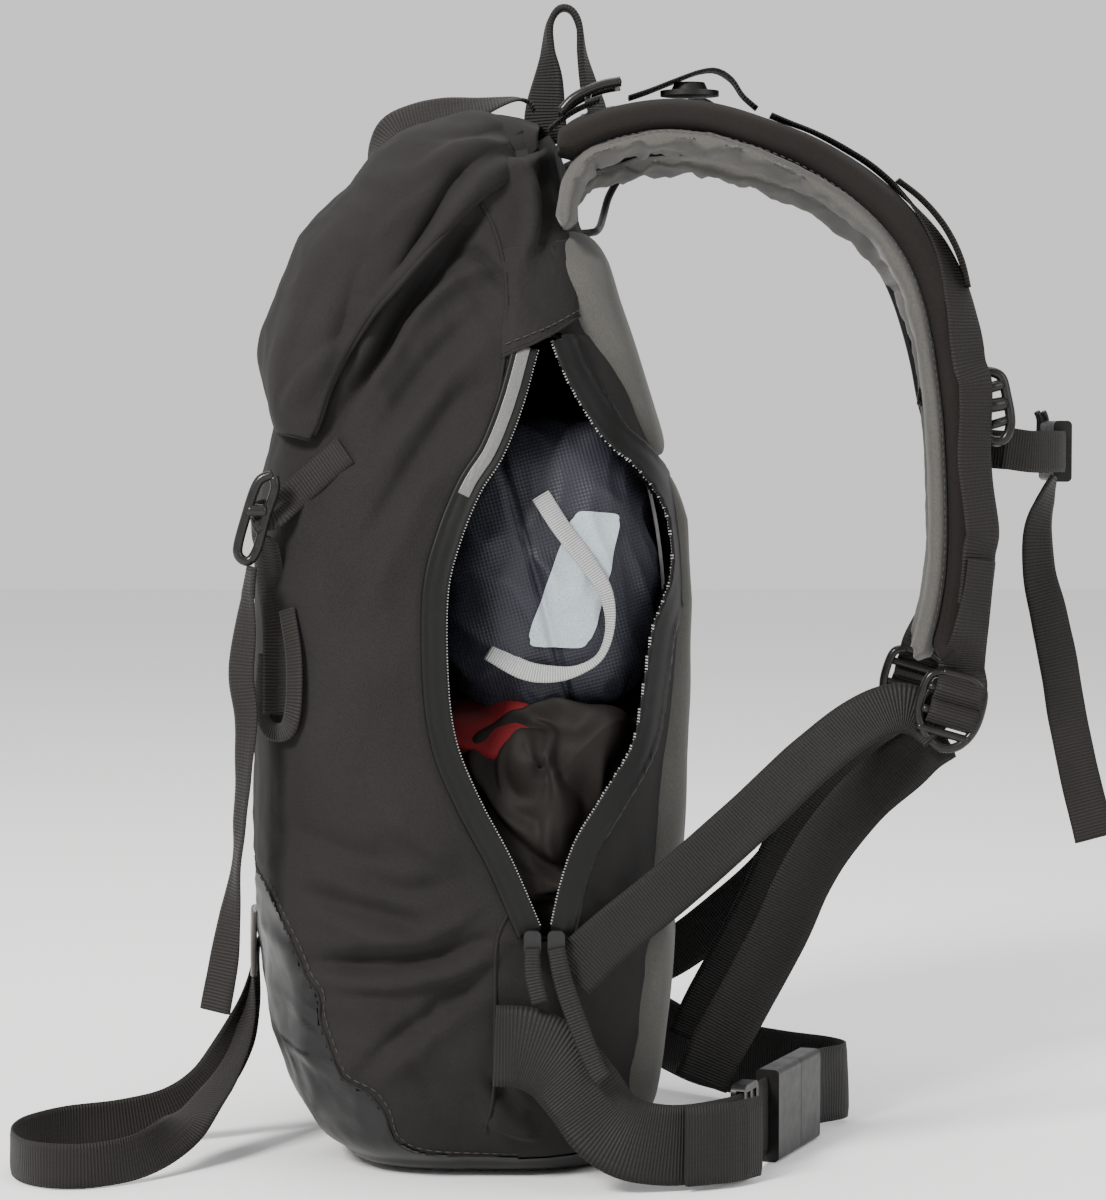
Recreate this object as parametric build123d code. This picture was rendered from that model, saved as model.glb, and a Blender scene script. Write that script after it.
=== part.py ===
from build123d import *
import math
import os

os.makedirs("parts", exist_ok=True)

# Frame: millimetres, +Z up, origin at the centre of the flat base, +X towards the wearer's back,
# -Y towards the wearer's right. The pack stands on its base with the side zip open.

# Driving dimensions
pack_height = 470        # body bag alone, without lid and handle
pack_half_width = 138    # widest half width of the bag
fabric = 3.0             # wall of one sewn panel with its lining
fit_gap = 0.4            # between pieces that move past each other
lid_gap = 1.6            # lid over the bag
webbing = 1.6            # thickness of plain webbing
heavy_webbing = 1.9      # thickness of hip belt webbing
strap_y = 75             # middle of a shoulder strap
strap_width = 58
strap_foam = 14          # shoulder strap foam with its cover
strap_lining = 7         # stretch lining inside the strap
rail_width = 20          # ribbed webbing that the sternum strap slides on
adjust_width = 25        # lower adjusting webbing
belt_width = 38
back_pad = 10            # foam on the back panel
stay_width = 12
stay_thickness = 2.5
sheet_thickness = 1.6
cylinder_radius = 28
cylinder_height = 190
valve_radius = 15
tape_width = 8           # zip tape and teeth along each edge of the side opening
ski_loop_width = 21

# Half sections of the bag: height, front, back, half width, corner radius,
# as shares of pack_height for the first and of pack_half_width for the two last.
bag_sections = [
    (0.000, -70, 22, 0.594, 0.254),
    (0.026, -106, 38, 0.768, 0.326),
    (0.072, -126, 44, 0.870, 0.362),
    (0.149, -138, 48, 0.920, 0.370),
    (0.298, -144, 53, 0.971, 0.377),
    (0.447, -146, 57, 1.000, 0.398),
    (0.596, -146, 57, 1.000, 0.398),
    (0.713, -142, 48, 0.950, 0.362),
    (0.775, -128, 38, 0.910, 0.348),
    (0.851, -122, 28, 0.855, 0.326),
    (0.936, -108, 15, 0.754, 0.290),
    (1.000, -88, 4, 0.638, 0.246),
]
# The lid's outside, in millimetres above the base
lid_sections = [
    (348, -136, 40, 135, 52),
    (372, -141, 40, 131, 50),
    (400, -143, 40, 125, 48),
    (435, -131, 40, 113, 44),
    (456, -120, 40, 104, 40),
    (476, -102, 36, 94, 36),
    (492, -84, 32, 82, 32),
    (503, -66, 28, 68, 28),
    (508, -50, 20, 52, 24),
]


def loft_sections(sections):
    outlines = []
    for z, front, back, half_width, corner in sections:
        outline = RectangleRounded(back - front, 2 * half_width, corner)
        outlines.append(Pos((front + back) / 2, 0, z) * outline)
    return loft(outlines)


def bag(grow):
    """The bag's solid, grown (or shrunk, below zero) by one distance all round."""
    sections = []
    for share, front, back, width_share, corner_share in bag_sections:
        z = share * pack_height
        if share == 0:
            z -= grow
        if share == 1:
            z += grow
        half_width = width_share * pack_half_width + grow
        corner = corner_share * pack_half_width + grow
        sections.append((z, front - grow, back + grow, half_width, corner))
    return loft_sections(sections)


def block(x0, x1, y0, y1, z0, z1):
    size = Box(x1 - x0, y1 - y0, z1 - z0)
    return Pos((x0 + x1) / 2, (y0 + y1) / 2, (z0 + z1) / 2) * size


def side_prism(points, y0, y1):
    """A prism along Y over an outline given as (x, z) points."""
    spots = [(x, 0, z) for x, z in points]
    edge = Polyline(*spots, close=True)
    solid = extrude(make_face(edge), amount=y1 - y0, dir=(0, 1, 0))
    return Pos(0, y0, 0) * solid


def offset_points(points, distance):
    """Points moved to the left of the line's direction."""
    moved = []
    for i, (u, v) in enumerate(points):
        before = points[max(i - 1, 0)]
        after = points[min(i + 1, len(points) - 1)]
        du = after[0] - before[0]
        dv = after[1] - before[1]
        length = math.hypot(du, dv)
        moved.append((u - dv / length * distance, v + du / length * distance))
    return moved


def ribbon(points, low, high):
    """A flat face between two offsets of a smooth line of (u, v) points."""
    side_a = offset_points(points, low)
    side_b = offset_points(points, high)
    edges = [
        Spline(*side_a),
        Line(side_a[-1], side_b[-1]),
        Spline(*reversed(side_b)),
        Line(side_b[0], side_a[0]),
    ]
    return make_face(edges)


def band(plane, points, low, high, depth):
    """A ribbon on a plane, made solid by half the depth to each side of it."""
    return extrude(plane * ribbon(points, low, high), amount=depth / 2, both=True)


def side_plane(y):
    """Plane whose u is +X and v is +Z, at one y."""
    return Plane(origin=(0, y, 0), x_dir=(1, 0, 0), z_dir=(0, -1, 0))


def upright_plane(start, end):
    """Plane whose u runs level from start towards end, and v is +Z."""
    du = end[0] - start[0]
    dv = end[1] - start[1]
    return Plane(origin=(start[0], start[1], 0), x_dir=(du, dv, 0), z_dir=(dv, -du, 0))


def save(node, shape):
    export_step(shape, "parts/" + node + ".step")


def mirrored(shape):
    return mirror(shape, about=Plane.XZ)


# Bag: one shell, cut along its seams into sewn panels
outer = bag(0)
inner = bag(-fabric)
shell = outer - inner

boot_line = [
    (-220, 150), (-131, 150), (-122, 111), (-112, 96), (-110, 78), (-100, 50),
    (-84, 40), (-76, 18), (-62, 12), (120, 12), (120, -20), (-220, -20),
]
boot_region = side_prism(boot_line, -200, 200)
top_seam = 448
back_seam = 8            # the back panel reaches this far round the corner
front_seam = -116
back_line = [(back - back_seam, share * pack_height) for share, front, back, w, r in bag_sections]
back_region = side_prism(
    back_line + [(200, pack_height), (200, 0)], -200, 200
)
top_region = block(-250, 150, -200, 200, top_seam, 600)
front_region = block(-250, front_seam, -200, 200, -20, top_seam)

# Side opening, held spread by what is inside: outline of the hole that takes the zip
opening_front = [
    (-16, 365), (-27, 343), (-38, 326), (-48, 303), (-53, 279), (-52, 240), (-47, 211),
    (-36, 183), (-20, 154),
]
opening_rear = [
    (10, 154), (24, 183), (38, 209), (42, 236), (45, 262), (47, 282), (47, 300),
    (44, 318), (34, 337), (20, 356),
]
opening_top = (-3, 398)
opening_foot = (-3, 118)


def lens(shrink):
    """The side opening's outline, moved in by one distance."""
    points = [(opening_foot[0], opening_foot[1] + 2 * shrink)]
    points += [(x - shrink, z) for x, z in opening_rear]
    points += [(opening_top[0], opening_top[1] - 2 * shrink)]
    points += [(x + shrink, z) for x, z in opening_front]
    return points


zip_hole = side_prism(lens(0), -200, -40)
zip_mouth = side_prism(lens(tape_width), -200, -40)

base_boot = shell & boot_region
rest = shell - boot_region
top_shell = rest & top_region
rest = rest - top_region
back_panel = rest & back_region
rest = rest - back_region
front_panel = rest & front_region
rest = rest - front_region
left_half = block(-250, 150, 0, 200, -20, 600)
side_panel_left = rest & left_half
side_right_whole = rest - left_half
side_panel_right = side_right_whole - zip_hole
zip_ring = (side_right_whole & zip_hole) - zip_mouth
chain_split = block(-250, opening_top[0], -200, 0, 0, 600)
zip_chain_front = zip_ring & chain_split
zip_chain_rear = zip_ring - chain_split

# Top panel: rear yoke that carries straps and handle, and the mouth under the lid
yoke_front = -5
yoke_back = 9
yoke_top = pack_height + 28
mouth = block(-82, -12, -62, 62, pack_height - 20, pack_height + 20)
yoke = block(yoke_front, yoke_back, -100, 100, pack_height - 12, yoke_top)
yoke = fillet(yoke.edges().filter_by(Axis.Y).group_by(Axis.Z)[-1], 5)
top_panel = top_shell - mouth + (yoke - outer)
cable_exit_y = 38
cable_exit_z = pack_height - 15
cable_radius = 2.0
cable_bore = Pos(10, cable_exit_y, cable_exit_z) * Rot(0, 90, 0) * Cylinder(cable_radius + fit_gap, 40)
top_panel = top_panel - cable_bore

save("base_boot", base_boot)
save("front_panel", front_panel)
save("side_panel_right", side_panel_right)
save("side_panel_left", side_panel_left)
save("back_panel", back_panel)
save("top_panel", top_panel)
save("zip_chain_front", zip_chain_front)
save("zip_chain_rear", zip_chain_rear)


# Layers that follow the bag's surface: the bag pushed out in one direction, less the bag
def layer(direction, near, far, region):
    x, y, z = direction
    pushed = Pos(x * far, y * far, z * far) * outer
    kept = Pos(x * near, y * near, z * near) * outer
    return (pushed - kept) & region


# Frame inside the back: plastic sheet and two bars
sheet_near = -fabric - sheet_thickness - 0.4
sheet_region = block(-20, 80, -78, 78, 36, 425)
frame_sheet = layer((1, 0, 0), sheet_near, sheet_near + sheet_thickness, sheet_region)
save("frame_sheet", frame_sheet)
stay_near = sheet_near - stay_thickness - 0.2
frame_stays = []
for stay_y in (-42, 42):
    stay_region = block(-40, 80, stay_y - stay_width / 2, stay_y + stay_width / 2, 44, 418)
    frame_stays.append(layer((1, 0, 0), stay_near, stay_near + stay_thickness, stay_region))
save("frame_stays", Compound(frame_stays))

# Foam on the back: shoulder-blade pad, two side pads and the lumbar pad
pad_regions = [
    block(-40, 120, -84, 84, 352, 444),
    block(-40, 120, 22, 84, 132, 344),
    block(-40, 120, -84, -22, 132, 344),
    block(-40, 120, -84, 84, 26, 124),
]
pads = [layer((1, 0, 0), 0, back_pad, region) for region in pad_regions]
save("back_pads", Compound(pads[:3]))
save("lumbar_pad", pads[3])

# Shoulder straps
strap_line = [
    (10, 488), (28, 500), (51, 504), (75, 502), (100, 495), (126, 484), (149, 470), (169, 451),
    (183, 428), (191, 398), (196, 362), (198, 325), (198, 296), (195, 270), (190, 246),
]
half_foam = strap_foam / 2
foam_outside = half_foam + webbing
shoulder_pad = band(side_plane(-strap_y), strap_line, -half_foam, half_foam, strap_width)
lining = band(
    side_plane(-strap_y), strap_line, -half_foam - strap_lining, -half_foam, strap_width - 4
)
behind_yoke = block(-60, yoke_back + 0.1, -200, 200, 400, 600)
shoulder_pad = shoulder_pad - behind_yoke - outer
lining = lining - behind_yoke - outer - pads[0]
rail = band(side_plane(-strap_y), strap_line, half_foam, foam_outside, rail_width)
rail = rail - block(-60, 96, -200, 200, 400, 600)
save("shoulder_pad_right", shoulder_pad)
save("shoulder_pad_left", mirrored(shoulder_pad))
save("strap_lining_right", lining)
save("strap_lining_left", mirrored(lining))
save("strap_rails", Compound([rail, mirrored(rail)]))


def ladder_lock(length, width, thickness, bar):
    """A moulded adjuster frame with two slots, flat in XZ, its length along X."""
    plate = Box(length, thickness, width)
    plate = fillet(plate.edges().filter_by(Axis.Y), min(length, width) * 0.2)
    slot_length = (length - 3 * bar) / 2
    for side in (-1, 1):
        slot = Box(slot_length, 3 * thickness, width - 2 * bar)
        plate = plate - Pos(side * (bar + slot_length) / 2, 0, 0) * slot
    return plate


# Load lifters: adjuster on the yoke, webbing over the strap to its anchor
lifter_y = -strap_y
lifter_lock = Pos(18, lifter_y, 514.5) * Rot(0, -14, 0) * Rot(90, 0, 0) * ladder_lock(27, 27, 3.6, 3.2)
save("load_lifter_buckle_right", lifter_lock)
save("load_lifter_buckle_left", mirrored(lifter_lock))
lifter_line = [(35, 521), (48, 524), (60, 528), (72, 530), (84, 526), (92, 516), (99, 504.5)]
lifter = band(side_plane(lifter_y), lifter_line, 0, webbing, 20)
lifter = lifter - shoulder_pad - rail
save("load_lifters", Compound([lifter, mirrored(lifter)]))
puck_plate = Pos(65, -strap_y, 514) * extrude(Ellipse(14, 12), amount=2.5)
puck_dome = Pos(65, -strap_y, 516.5) * extrude(Ellipse(9, 8), amount=4, taper=25)
save("strap_top_buckle", puck_plate + puck_dome)

# Grab handle: loop of webbing on the yoke
handle_line = [
    (-1, yoke_top), (-2, 520), (-1, 542), (2, 558), (7, 566), (12, 561), (12, 546), (10, 522), (6, yoke_top),
]
handle = band(side_plane(0), handle_line, -1.3, 1.3, 24)
handle = handle - block(-60, 60, -60, 60, 400, yoke_top)
save("grab_handle", handle)

# Lid: soft cap over the top of the bag, hinged on its rear top edge
lid_hinge_x = -7
lid_line = [
    (lid_hinge_x, 560), (lid_hinge_x, 492), (-28, 469), (-40, 460), (-72, 422), (-90, 400),
    (-104, 372), (-109, 355), (-220, 355), (-220, 560),
]
lid = (loft_sections(lid_sections) & side_prism(lid_line, -200, 200)) - bag(lid_gap)
lid = lid.solids().sort_by(SortBy.VOLUME)[-1]
save("lid", lid)
lid_strap_line = [(-86, 509), (-78, 512), (-66, 514), (-52, 515.2), (-38, 515.5), (-24, 515.2)]
lid_strap = band(side_plane(-32), lid_strap_line, 0, webbing, rail_width)
save("lid_strap", lid_strap)

# Hook and webbing that hold the lid down and the skis on
corner_out = (-0.76, -0.65, 0)
front_strap_outline = [
    (-94, 350), (-116, 331), (-131, 316), (-138, 300), (-134, 268), (-134, 214), (-122, 214),
    (-122, 268), (-125, 298), (-110, 316), (-88, 336),
]
front_strap = layer(corner_out, 0, webbing * 1.4, side_prism(front_strap_outline, -170, -70))
front_strap = front_strap - side_prism(lid_line, -200, 200)
hook_y = -125
hook_width = 14
hook_room = block(-150, -132.4, hook_y - hook_width / 2 - 1, hook_y + hook_width / 2 + 1, 286, 340)
save("front_strap", front_strap - hook_room)
hook_face = side_prism(
    [(-147, 295), (-140, 293), (-135, 303), (-133, 318), (-137, 335), (-143, 338), (-147, 333),
     (-142, 318), (-146, 304)],
    hook_y - hook_width / 2, hook_y + hook_width / 2,
)
save("hook_buckle", hook_face)
tail_line = [
    (-143, 288), (-143, 272), (-144, 252), (-145, 238), (-143, 222), (-144, 190), (-147, 155),
    (-152, 120), (-157, 84),
]
front_tail = band(side_plane(hook_y), tail_line, 0, webbing, hook_width)
save("front_strap_tail", front_tail)

# Ski loop: sewn under a hook-and-loop patch, its loop standing on edge on the floor
patch_region = block(-200, -100, -34, -4, 86, 116)
ski_patch = layer((-1, 0, 0), 0, 2.5, patch_region)
save("ski_patch", ski_patch)
loop_plan = [
    (-170, -20), (-205, -20), (-238, -32), (-257, -58), (-261, -86), (-250, -114), (-226, -128),
    (-198, -120), (-172, -96),
]
ski_loop = extrude(ribbon(loop_plan, 0, webbing), amount=ski_loop_width)
riser_far = band(
    upright_plane((-151, -13), (-170, -20)), [(0, 100), (1, 78), (5, 52), (12, 30), (20.2, 10.5)],
    -6, 6, webbing,
)
riser_near = band(
    upright_plane((-151, -27), (-172, -96)), [(0, 100), (8, 76), (26, 46), (50, 22), (72, 10.5)],
    -6, 6, webbing,
)
floor_cut = block(-300, 0, -200, 200, -40, 0)
ski_loop = (ski_loop + riser_far + riser_near) - floor_cut
ski_loop = ski_loop - ski_patch - base_boot
save("ski_loop", ski_loop)


def side_release(height, thickness, socket_length, plug_length, prong, slot):
    """Socket below y = 0 and plug above it, both about the Y axis, height along Z."""
    wall = 1.8
    socket = Pos(0, -socket_length / 2, 0) * Box(thickness, socket_length, height)
    socket = fillet(socket.edges().filter_by(Axis.Y), 2.4)
    cavity_depth = prong + 3
    cavity = Box(thickness - 2 * wall, cavity_depth, height - 2 * wall - 4)
    socket = socket - Pos(0, -cavity_depth / 2, 0) * cavity
    plug = Pos(0, plug_length / 2 + fit_gap, 0) * Box(thickness, plug_length, height)
    plug = fillet(plug.edges().filter_by(Axis.Y), 2.4)
    slot_depth = plug_length - 6
    throat = Box(slot, slot_depth, height - 5.5)
    plug = plug - Pos(0, plug_length + fit_gap - slot_depth / 2, 0) * throat
    prong_thick = thickness - 2 * wall - 2 * fit_gap
    prong_place = (height - 2 * wall - 4) / 2 - 3 - fit_gap
    for lift in (-prong_place, 0, prong_place):
        blade = Box(prong_thick, prong + 2, 5)
        plug = plug + Pos(0, -prong / 2 + 1, lift) * blade
    return socket, plug


# Sternum strap: sliders on the rails, webbing, buckle and hanging tail
slider_z = 367
sternum_z = 345
slider_x0 = 206
slider_x1 = 213


def sternum_slider():
    plate = block(slider_x0, slider_x1, -13, 13, -15, 15)
    plate = fillet(plate.edges().filter_by(Axis.X), 4)
    for lift in (-8, 8):
        plate = plate - block(slider_x0 - 1, slider_x1 + 1, -9, 9, lift - 2.5, lift + 2.5)
    return Pos(0, -strap_y, slider_z) * plate


slider = sternum_slider()
save("sternum_slider_right", slider)
save("sternum_slider_left", mirrored(slider))
buckle_x = 250
sternum_width = 20
sternum_half = sternum_width / 2
socket, plug = side_release(30, 9, 28, 24, 16, 3.2)
sternum_place = Pos(buckle_x, -4, sternum_z)
save("sternum_buckle_socket", sternum_place * socket)
save("sternum_buckle_plug", sternum_place * plug)


def plan_band(points, thickness, z_mid, width):
    face = ribbon(points, -thickness / 2, thickness / 2)
    return Pos(0, 0, z_mid - width / 2) * extrude(face, amount=width)


right_run = [(215, -77), (230, -70), (243, -56), (249.5, -43), (250, -32.3)]
left_run = [(250, 18), (250, 28), (250, 40), (247, 54), (236, 68), (224, 74), (215, 77)]
sternum_right = plan_band(right_run, webbing, sternum_z, sternum_width)
sternum_left = plan_band(left_run, webbing, sternum_z, sternum_width)
hook_right = block(slider_x1, 217, -strap_y - 9, -strap_y + 7, sternum_z - sternum_half, slider_z + 6)
save("sternum_strap_right", sternum_right + hook_right)
save("sternum_strap_left", sternum_left + mirrored(hook_right))
hanging_line = [(243, 330), (238, 316), (236, 298), (243, 266), (249, 227), (256, 197), (265, 156)]
hanging = band(side_plane(-46), hanging_line, -sternum_half, sternum_half, webbing)
save("sternum_tail", hanging)

# Lower adjusters and their webbing
lower_lock = Pos(189, -strap_y, 222) * Rot(0, 68, 0) * ladder_lock(33, 25, 5, 4)
save("lower_buckle_right", lower_lock)
save("lower_buckle_left", mirrored(lower_lock))
half_adjust = adjust_width / 2
anchor_plane = upright_plane((17, -136), (172, -84))
adjust_line = [(0, 104), (40, 138), (84, 173), (120, 200), (144, 214), (160, 219)]
adjust_right = band(anchor_plane, adjust_line, -half_adjust, half_adjust, webbing)
save("adjust_strap_right", adjust_right)
anchor_far = upright_plane((7, 137), (172, 84))
slack_line = [(0, 60), (30, 60), (62, 72), (96, 96), (124, 130), (146, 172), (162, 206)]
adjust_left = band(anchor_far, slack_line, -half_adjust, half_adjust, webbing)
save("adjust_strap_left", adjust_left)
free_line = [(176, 196), (160, 182), (138, 158), (121, 136), (102, 103), (90, 76), (80, 52), (73, 34)]
free_right = band(side_plane(-64), free_line, -half_adjust, half_adjust, webbing)
save("adjust_tail_right", free_right)
save("adjust_tail_left", mirrored(free_right))

# Hip belt: sewn to the sides, down to the floor, round to the buckle
buckle_angle = 22.4
buckle_spot = (117, -33)
floor_gap = 0.4
buckle_height = 45
belt_mid = buckle_height / 2 + floor_gap
belt_floor = belt_mid - belt_width / 2
belt_socket, belt_plug = side_release(buckle_height, 12, 34, 30, 20, heavy_webbing + 2)
belt_place = Pos(buckle_spot[0], buckle_spot[1], belt_mid) * Rot(0, 0, -buckle_angle)
save("belt_buckle_socket", belt_place * belt_socket)
save("belt_buckle_plug", belt_place * belt_plug)
along = (math.sin(math.radians(buckle_angle)), math.cos(math.radians(buckle_angle)))


def beside_buckle(distance):
    return (buckle_spot[0] + along[0] * distance, buckle_spot[1] + along[1] * distance)


half_belt = belt_width / 2
belt_side_line = [(-27, 70), (-8, 67), (6, 50), (22, 30), (38, belt_mid + 1), (50, belt_mid)]
belt_side = band(side_plane(-139.5), belt_side_line, -half_belt, half_belt, heavy_webbing)
belt_side = belt_side - floor_cut - block(-30, 80, -200, 0, -40, belt_floor)
right_plan = [(46, -139.5), (62, -135), (84, -116), beside_buckle(-48), beside_buckle(-34.2)]
belt_front = plan_band(right_plan, heavy_webbing, belt_mid, belt_width)
hip_belt_right = belt_side + belt_front
save("hip_belt_right", hip_belt_right)
left_plan = [
    beside_buckle(27.6), beside_buckle(34), beside_buckle(40), beside_buckle(46), beside_buckle(52),
    (147, 30), (151, 44), (142, 58), (112, 80), (80, 108), (62, 130), (46, 139.5),
]
belt_back = plan_band(left_plan, heavy_webbing, belt_mid, belt_width)
hip_belt_left = mirrored(belt_side) + belt_back
save("hip_belt_left", hip_belt_left)
glide_place = Pos(91.2, -97.2, belt_mid) * Rot(0, 0, 69)
glide = glide_place * ladder_lock(22, buckle_height, 7, 3.5)
glide_slot = plan_band(right_plan, heavy_webbing + 2.2, belt_mid, belt_width + 2)
save("belt_triglide", glide - glide_slot)
belt_tail_line = [(72, -133), (84, -127), (98, -110)]
belt_tail = plan_band(belt_tail_line, heavy_webbing, belt_mid, belt_width)
save("belt_tail", belt_tail)

# Zip sliders and their pulls, at the foot of the side opening
slider_spots = [-9.5, 1.5]
slider_face = -137.2
sliders = []
for spot in slider_spots:
    body = block(spot - 4, spot + 4, slider_face - 4, slider_face, 112, 124)
    body = fillet(body.edges().filter_by(Axis.Y), 2.5)
    sliders.append(body)
save("zip_sliders", Compound(sliders))
pull_y = slider_face - 6
long_pull = band(
    side_plane(pull_y), [(1.5, 116), (5, 100), (12, 80), (20, 60)], -4.5, 4.5, 1.6
)
short_pull = band(side_plane(pull_y), [(-9.5, 116), (-9, 104), (-6, 92)], -4.5, 4.5, 1.6)
save("zip_pull_long", long_pull)
save("zip_pull_short", short_pull)

# Inside: airbag in its sleeve, gas cylinder with its valve, and the liner below
sleeve = Pos(-3, -62, 290) * scale(Sphere(1), by=(46, 44, 68))
save("airbag_sleeve", sleeve)
folded = block(-56, 32, -98, 22, 178, 214)
save("folded_airbag", fillet(folded.edges(), 12))
liner = block(-40, 34, -98, 22, 112, 172)
save("base_liner", fillet(liner.edges(), 16))
cylinder_x = 10
cylinder_y = 66
cylinder_foot = 42
cylinder_place = Pos(cylinder_x, cylinder_y, cylinder_foot + cylinder_height / 2)
gas = Cylinder(cylinder_radius, cylinder_height)
gas = fillet(gas.edges(), cylinder_radius * 0.6)
save("gas_cylinder", cylinder_place * gas)
valve_foot = cylinder_foot + cylinder_height
valve_top = valve_foot + 44
valve = Pos(cylinder_x, cylinder_y, valve_foot + 22) * Cylinder(valve_radius, 44)
valve = chamfer(valve.edges().group_by(Axis.Z)[-1], 3)
ear_gap = 7
lever_pin = (cylinder_x - valve_radius - 9, valve_top - 11)
for side in (-1, 1):
    ear_y = cylinder_y + side * (ear_gap / 2 + 2.2)
    valve = valve + block(lever_pin[0] - 4, cylinder_x - 8, ear_y - 2, ear_y + 2,
                          valve_top - 18, valve_top - 4)
pin_radius = 1.6
pin_bore = Pos(lever_pin[0], cylinder_y, lever_pin[1]) * Rot(90, 0, 0) * Cylinder(pin_radius, 15.4)
valve = valve + pin_bore
save("valve_head", valve)
lever = side_prism(
    [(lever_pin[0] - 5, lever_pin[1] - 5), (lever_pin[0] + 5, lever_pin[1] - 5),
     (lever_pin[0] + 5, lever_pin[1] + 5), (lever_pin[0] - 1, lever_pin[1] + 24),
     (lever_pin[0] - 6, lever_pin[1] + 24)],
    cylinder_y - ear_gap / 2, cylinder_y + ear_gap / 2,
)
lever = lever - Pos(lever_pin[0], cylinder_y, lever_pin[1]) * Rot(90, 0, 0) * Cylinder(
    pin_radius + 0.08, 30
)
save("actuator_lever", lever)

# Trigger: cable from the valve, out through the yoke, along the left strap to the handle
cable_side_y = strap_y + strap_width / 2 + cable_radius + 1.2
cable_points = [
    (cylinder_x, cylinder_y, valve_top), (cylinder_x, cylinder_y, valve_top + 30),
    (2, 60, valve_top + 70), (-12, 52, valve_top + 112), (-26, cable_exit_y + 6, cable_exit_z - 36),
    (-20, cable_exit_y, cable_exit_z), (20, cable_exit_y, cable_exit_z), (24, 62, 459), (26, 92, 466),
    (30, cable_side_y, 482), (46, cable_side_y, 502), (84, cable_side_y, 500), (118, cable_side_y, 488),
    (149, cable_side_y, 470), (176, cable_side_y, 440), (190, cable_side_y, 398),
    (196, cable_side_y, 362), (206, cable_side_y, 342), (214.5, 98, 334), (213.5, 82, 331),
    (213.5, strap_y, 324),
]


def cable_tube(points, radius):
    """A tube on straight runs joined by arcs as wide as the runs allow."""
    radii = []
    vectors = [Vector(*p) for p in points]
    for before, here, after in zip(vectors, vectors[1:], vectors[2:]):
        run_a = here - before
        run_b = after - here
        turn = math.radians(run_a.get_angle(run_b))
        radii.append(0.45 * min(run_a.length, run_b.length) / math.tan(turn / 2))
    path = FilletPolyline(*points, radius=radii)
    print("cable radii", [round(r, 1) for r in radii], "length", round(path.length, 1))
    profile = Plane(origin=path @ 0, z_dir=path % 0) * Circle(radius)
    return sweep(profile, path=path)


trigger_cable = cable_tube(cable_points, cable_radius)
save("trigger_cable", trigger_cable)
grip = block(207.5, 219, strap_y - 11, strap_y + 11, 266, 321)
save("trigger_handle", fillet(grip.edges(), 4.5))

# Burst zip: the seam on the left side that opens when the airbag fills
burst_line = [(-62, 392), (-66, 360), (-70, 330), (-76, 250), (-74, 170), (-66, 110)]
burst_strip = band(side_plane(140), burst_line, -5, 5, 120)
save("burst_zip", layer((0, 1, 0), 0, 1.8, burst_strip))
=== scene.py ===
import math
import bpy
import numpy as np
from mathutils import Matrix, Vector, noise


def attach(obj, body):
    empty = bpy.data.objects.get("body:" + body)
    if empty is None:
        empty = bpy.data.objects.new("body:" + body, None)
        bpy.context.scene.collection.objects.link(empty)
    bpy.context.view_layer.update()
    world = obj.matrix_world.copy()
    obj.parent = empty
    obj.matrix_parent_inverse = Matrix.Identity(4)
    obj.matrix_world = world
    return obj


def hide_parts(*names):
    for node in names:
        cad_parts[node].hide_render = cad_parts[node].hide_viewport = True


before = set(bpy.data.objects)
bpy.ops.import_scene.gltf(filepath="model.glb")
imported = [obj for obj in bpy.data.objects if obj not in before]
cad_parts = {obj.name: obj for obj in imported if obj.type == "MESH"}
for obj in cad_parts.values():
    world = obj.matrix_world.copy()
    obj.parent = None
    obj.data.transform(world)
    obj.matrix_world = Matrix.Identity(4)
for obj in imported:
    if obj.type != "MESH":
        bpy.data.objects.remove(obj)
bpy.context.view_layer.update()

mm = 0.001


# Shader maths: a wrapped socket that adds its own Math nodes
class Tap:
    def __init__(self, tree, socket):
        self.tree, self.socket = tree, socket

    def join(self, operation, other=None, swapped=False):
        made = self.tree.nodes.new("ShaderNodeMath")
        made.operation = operation
        pair = (other, self) if swapped else (self, other)
        for place, value in enumerate(pair):
            if isinstance(value, Tap):
                self.tree.links.new(value.socket, made.inputs[place])
            elif value is not None:
                made.inputs[place].default_value = value
        return Tap(self.tree, made.outputs[0])

    def __add__(self, other): return self.join("ADD", other)
    def __radd__(self, other): return self.join("ADD", other, True)
    def __sub__(self, other): return self.join("SUBTRACT", other)
    def __rsub__(self, other): return self.join("SUBTRACT", other, True)
    def __mul__(self, other): return self.join("MULTIPLY", other)
    def __rmul__(self, other): return self.join("MULTIPLY", other, True)
    def __truediv__(self, other): return self.join("DIVIDE", other)
    def __rtruediv__(self, other): return self.join("DIVIDE", other, True)
    def __pow__(self, other): return self.join("POWER", other)
    def __neg__(self): return self.join("MULTIPLY", -1.0)
    def sine(self): return self.join("SINE")
    def size(self): return self.join("ABSOLUTE")
    def least(self, other): return self.join("MINIMUM", other)
    def most(self, other): return self.join("MAXIMUM", other)


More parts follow.
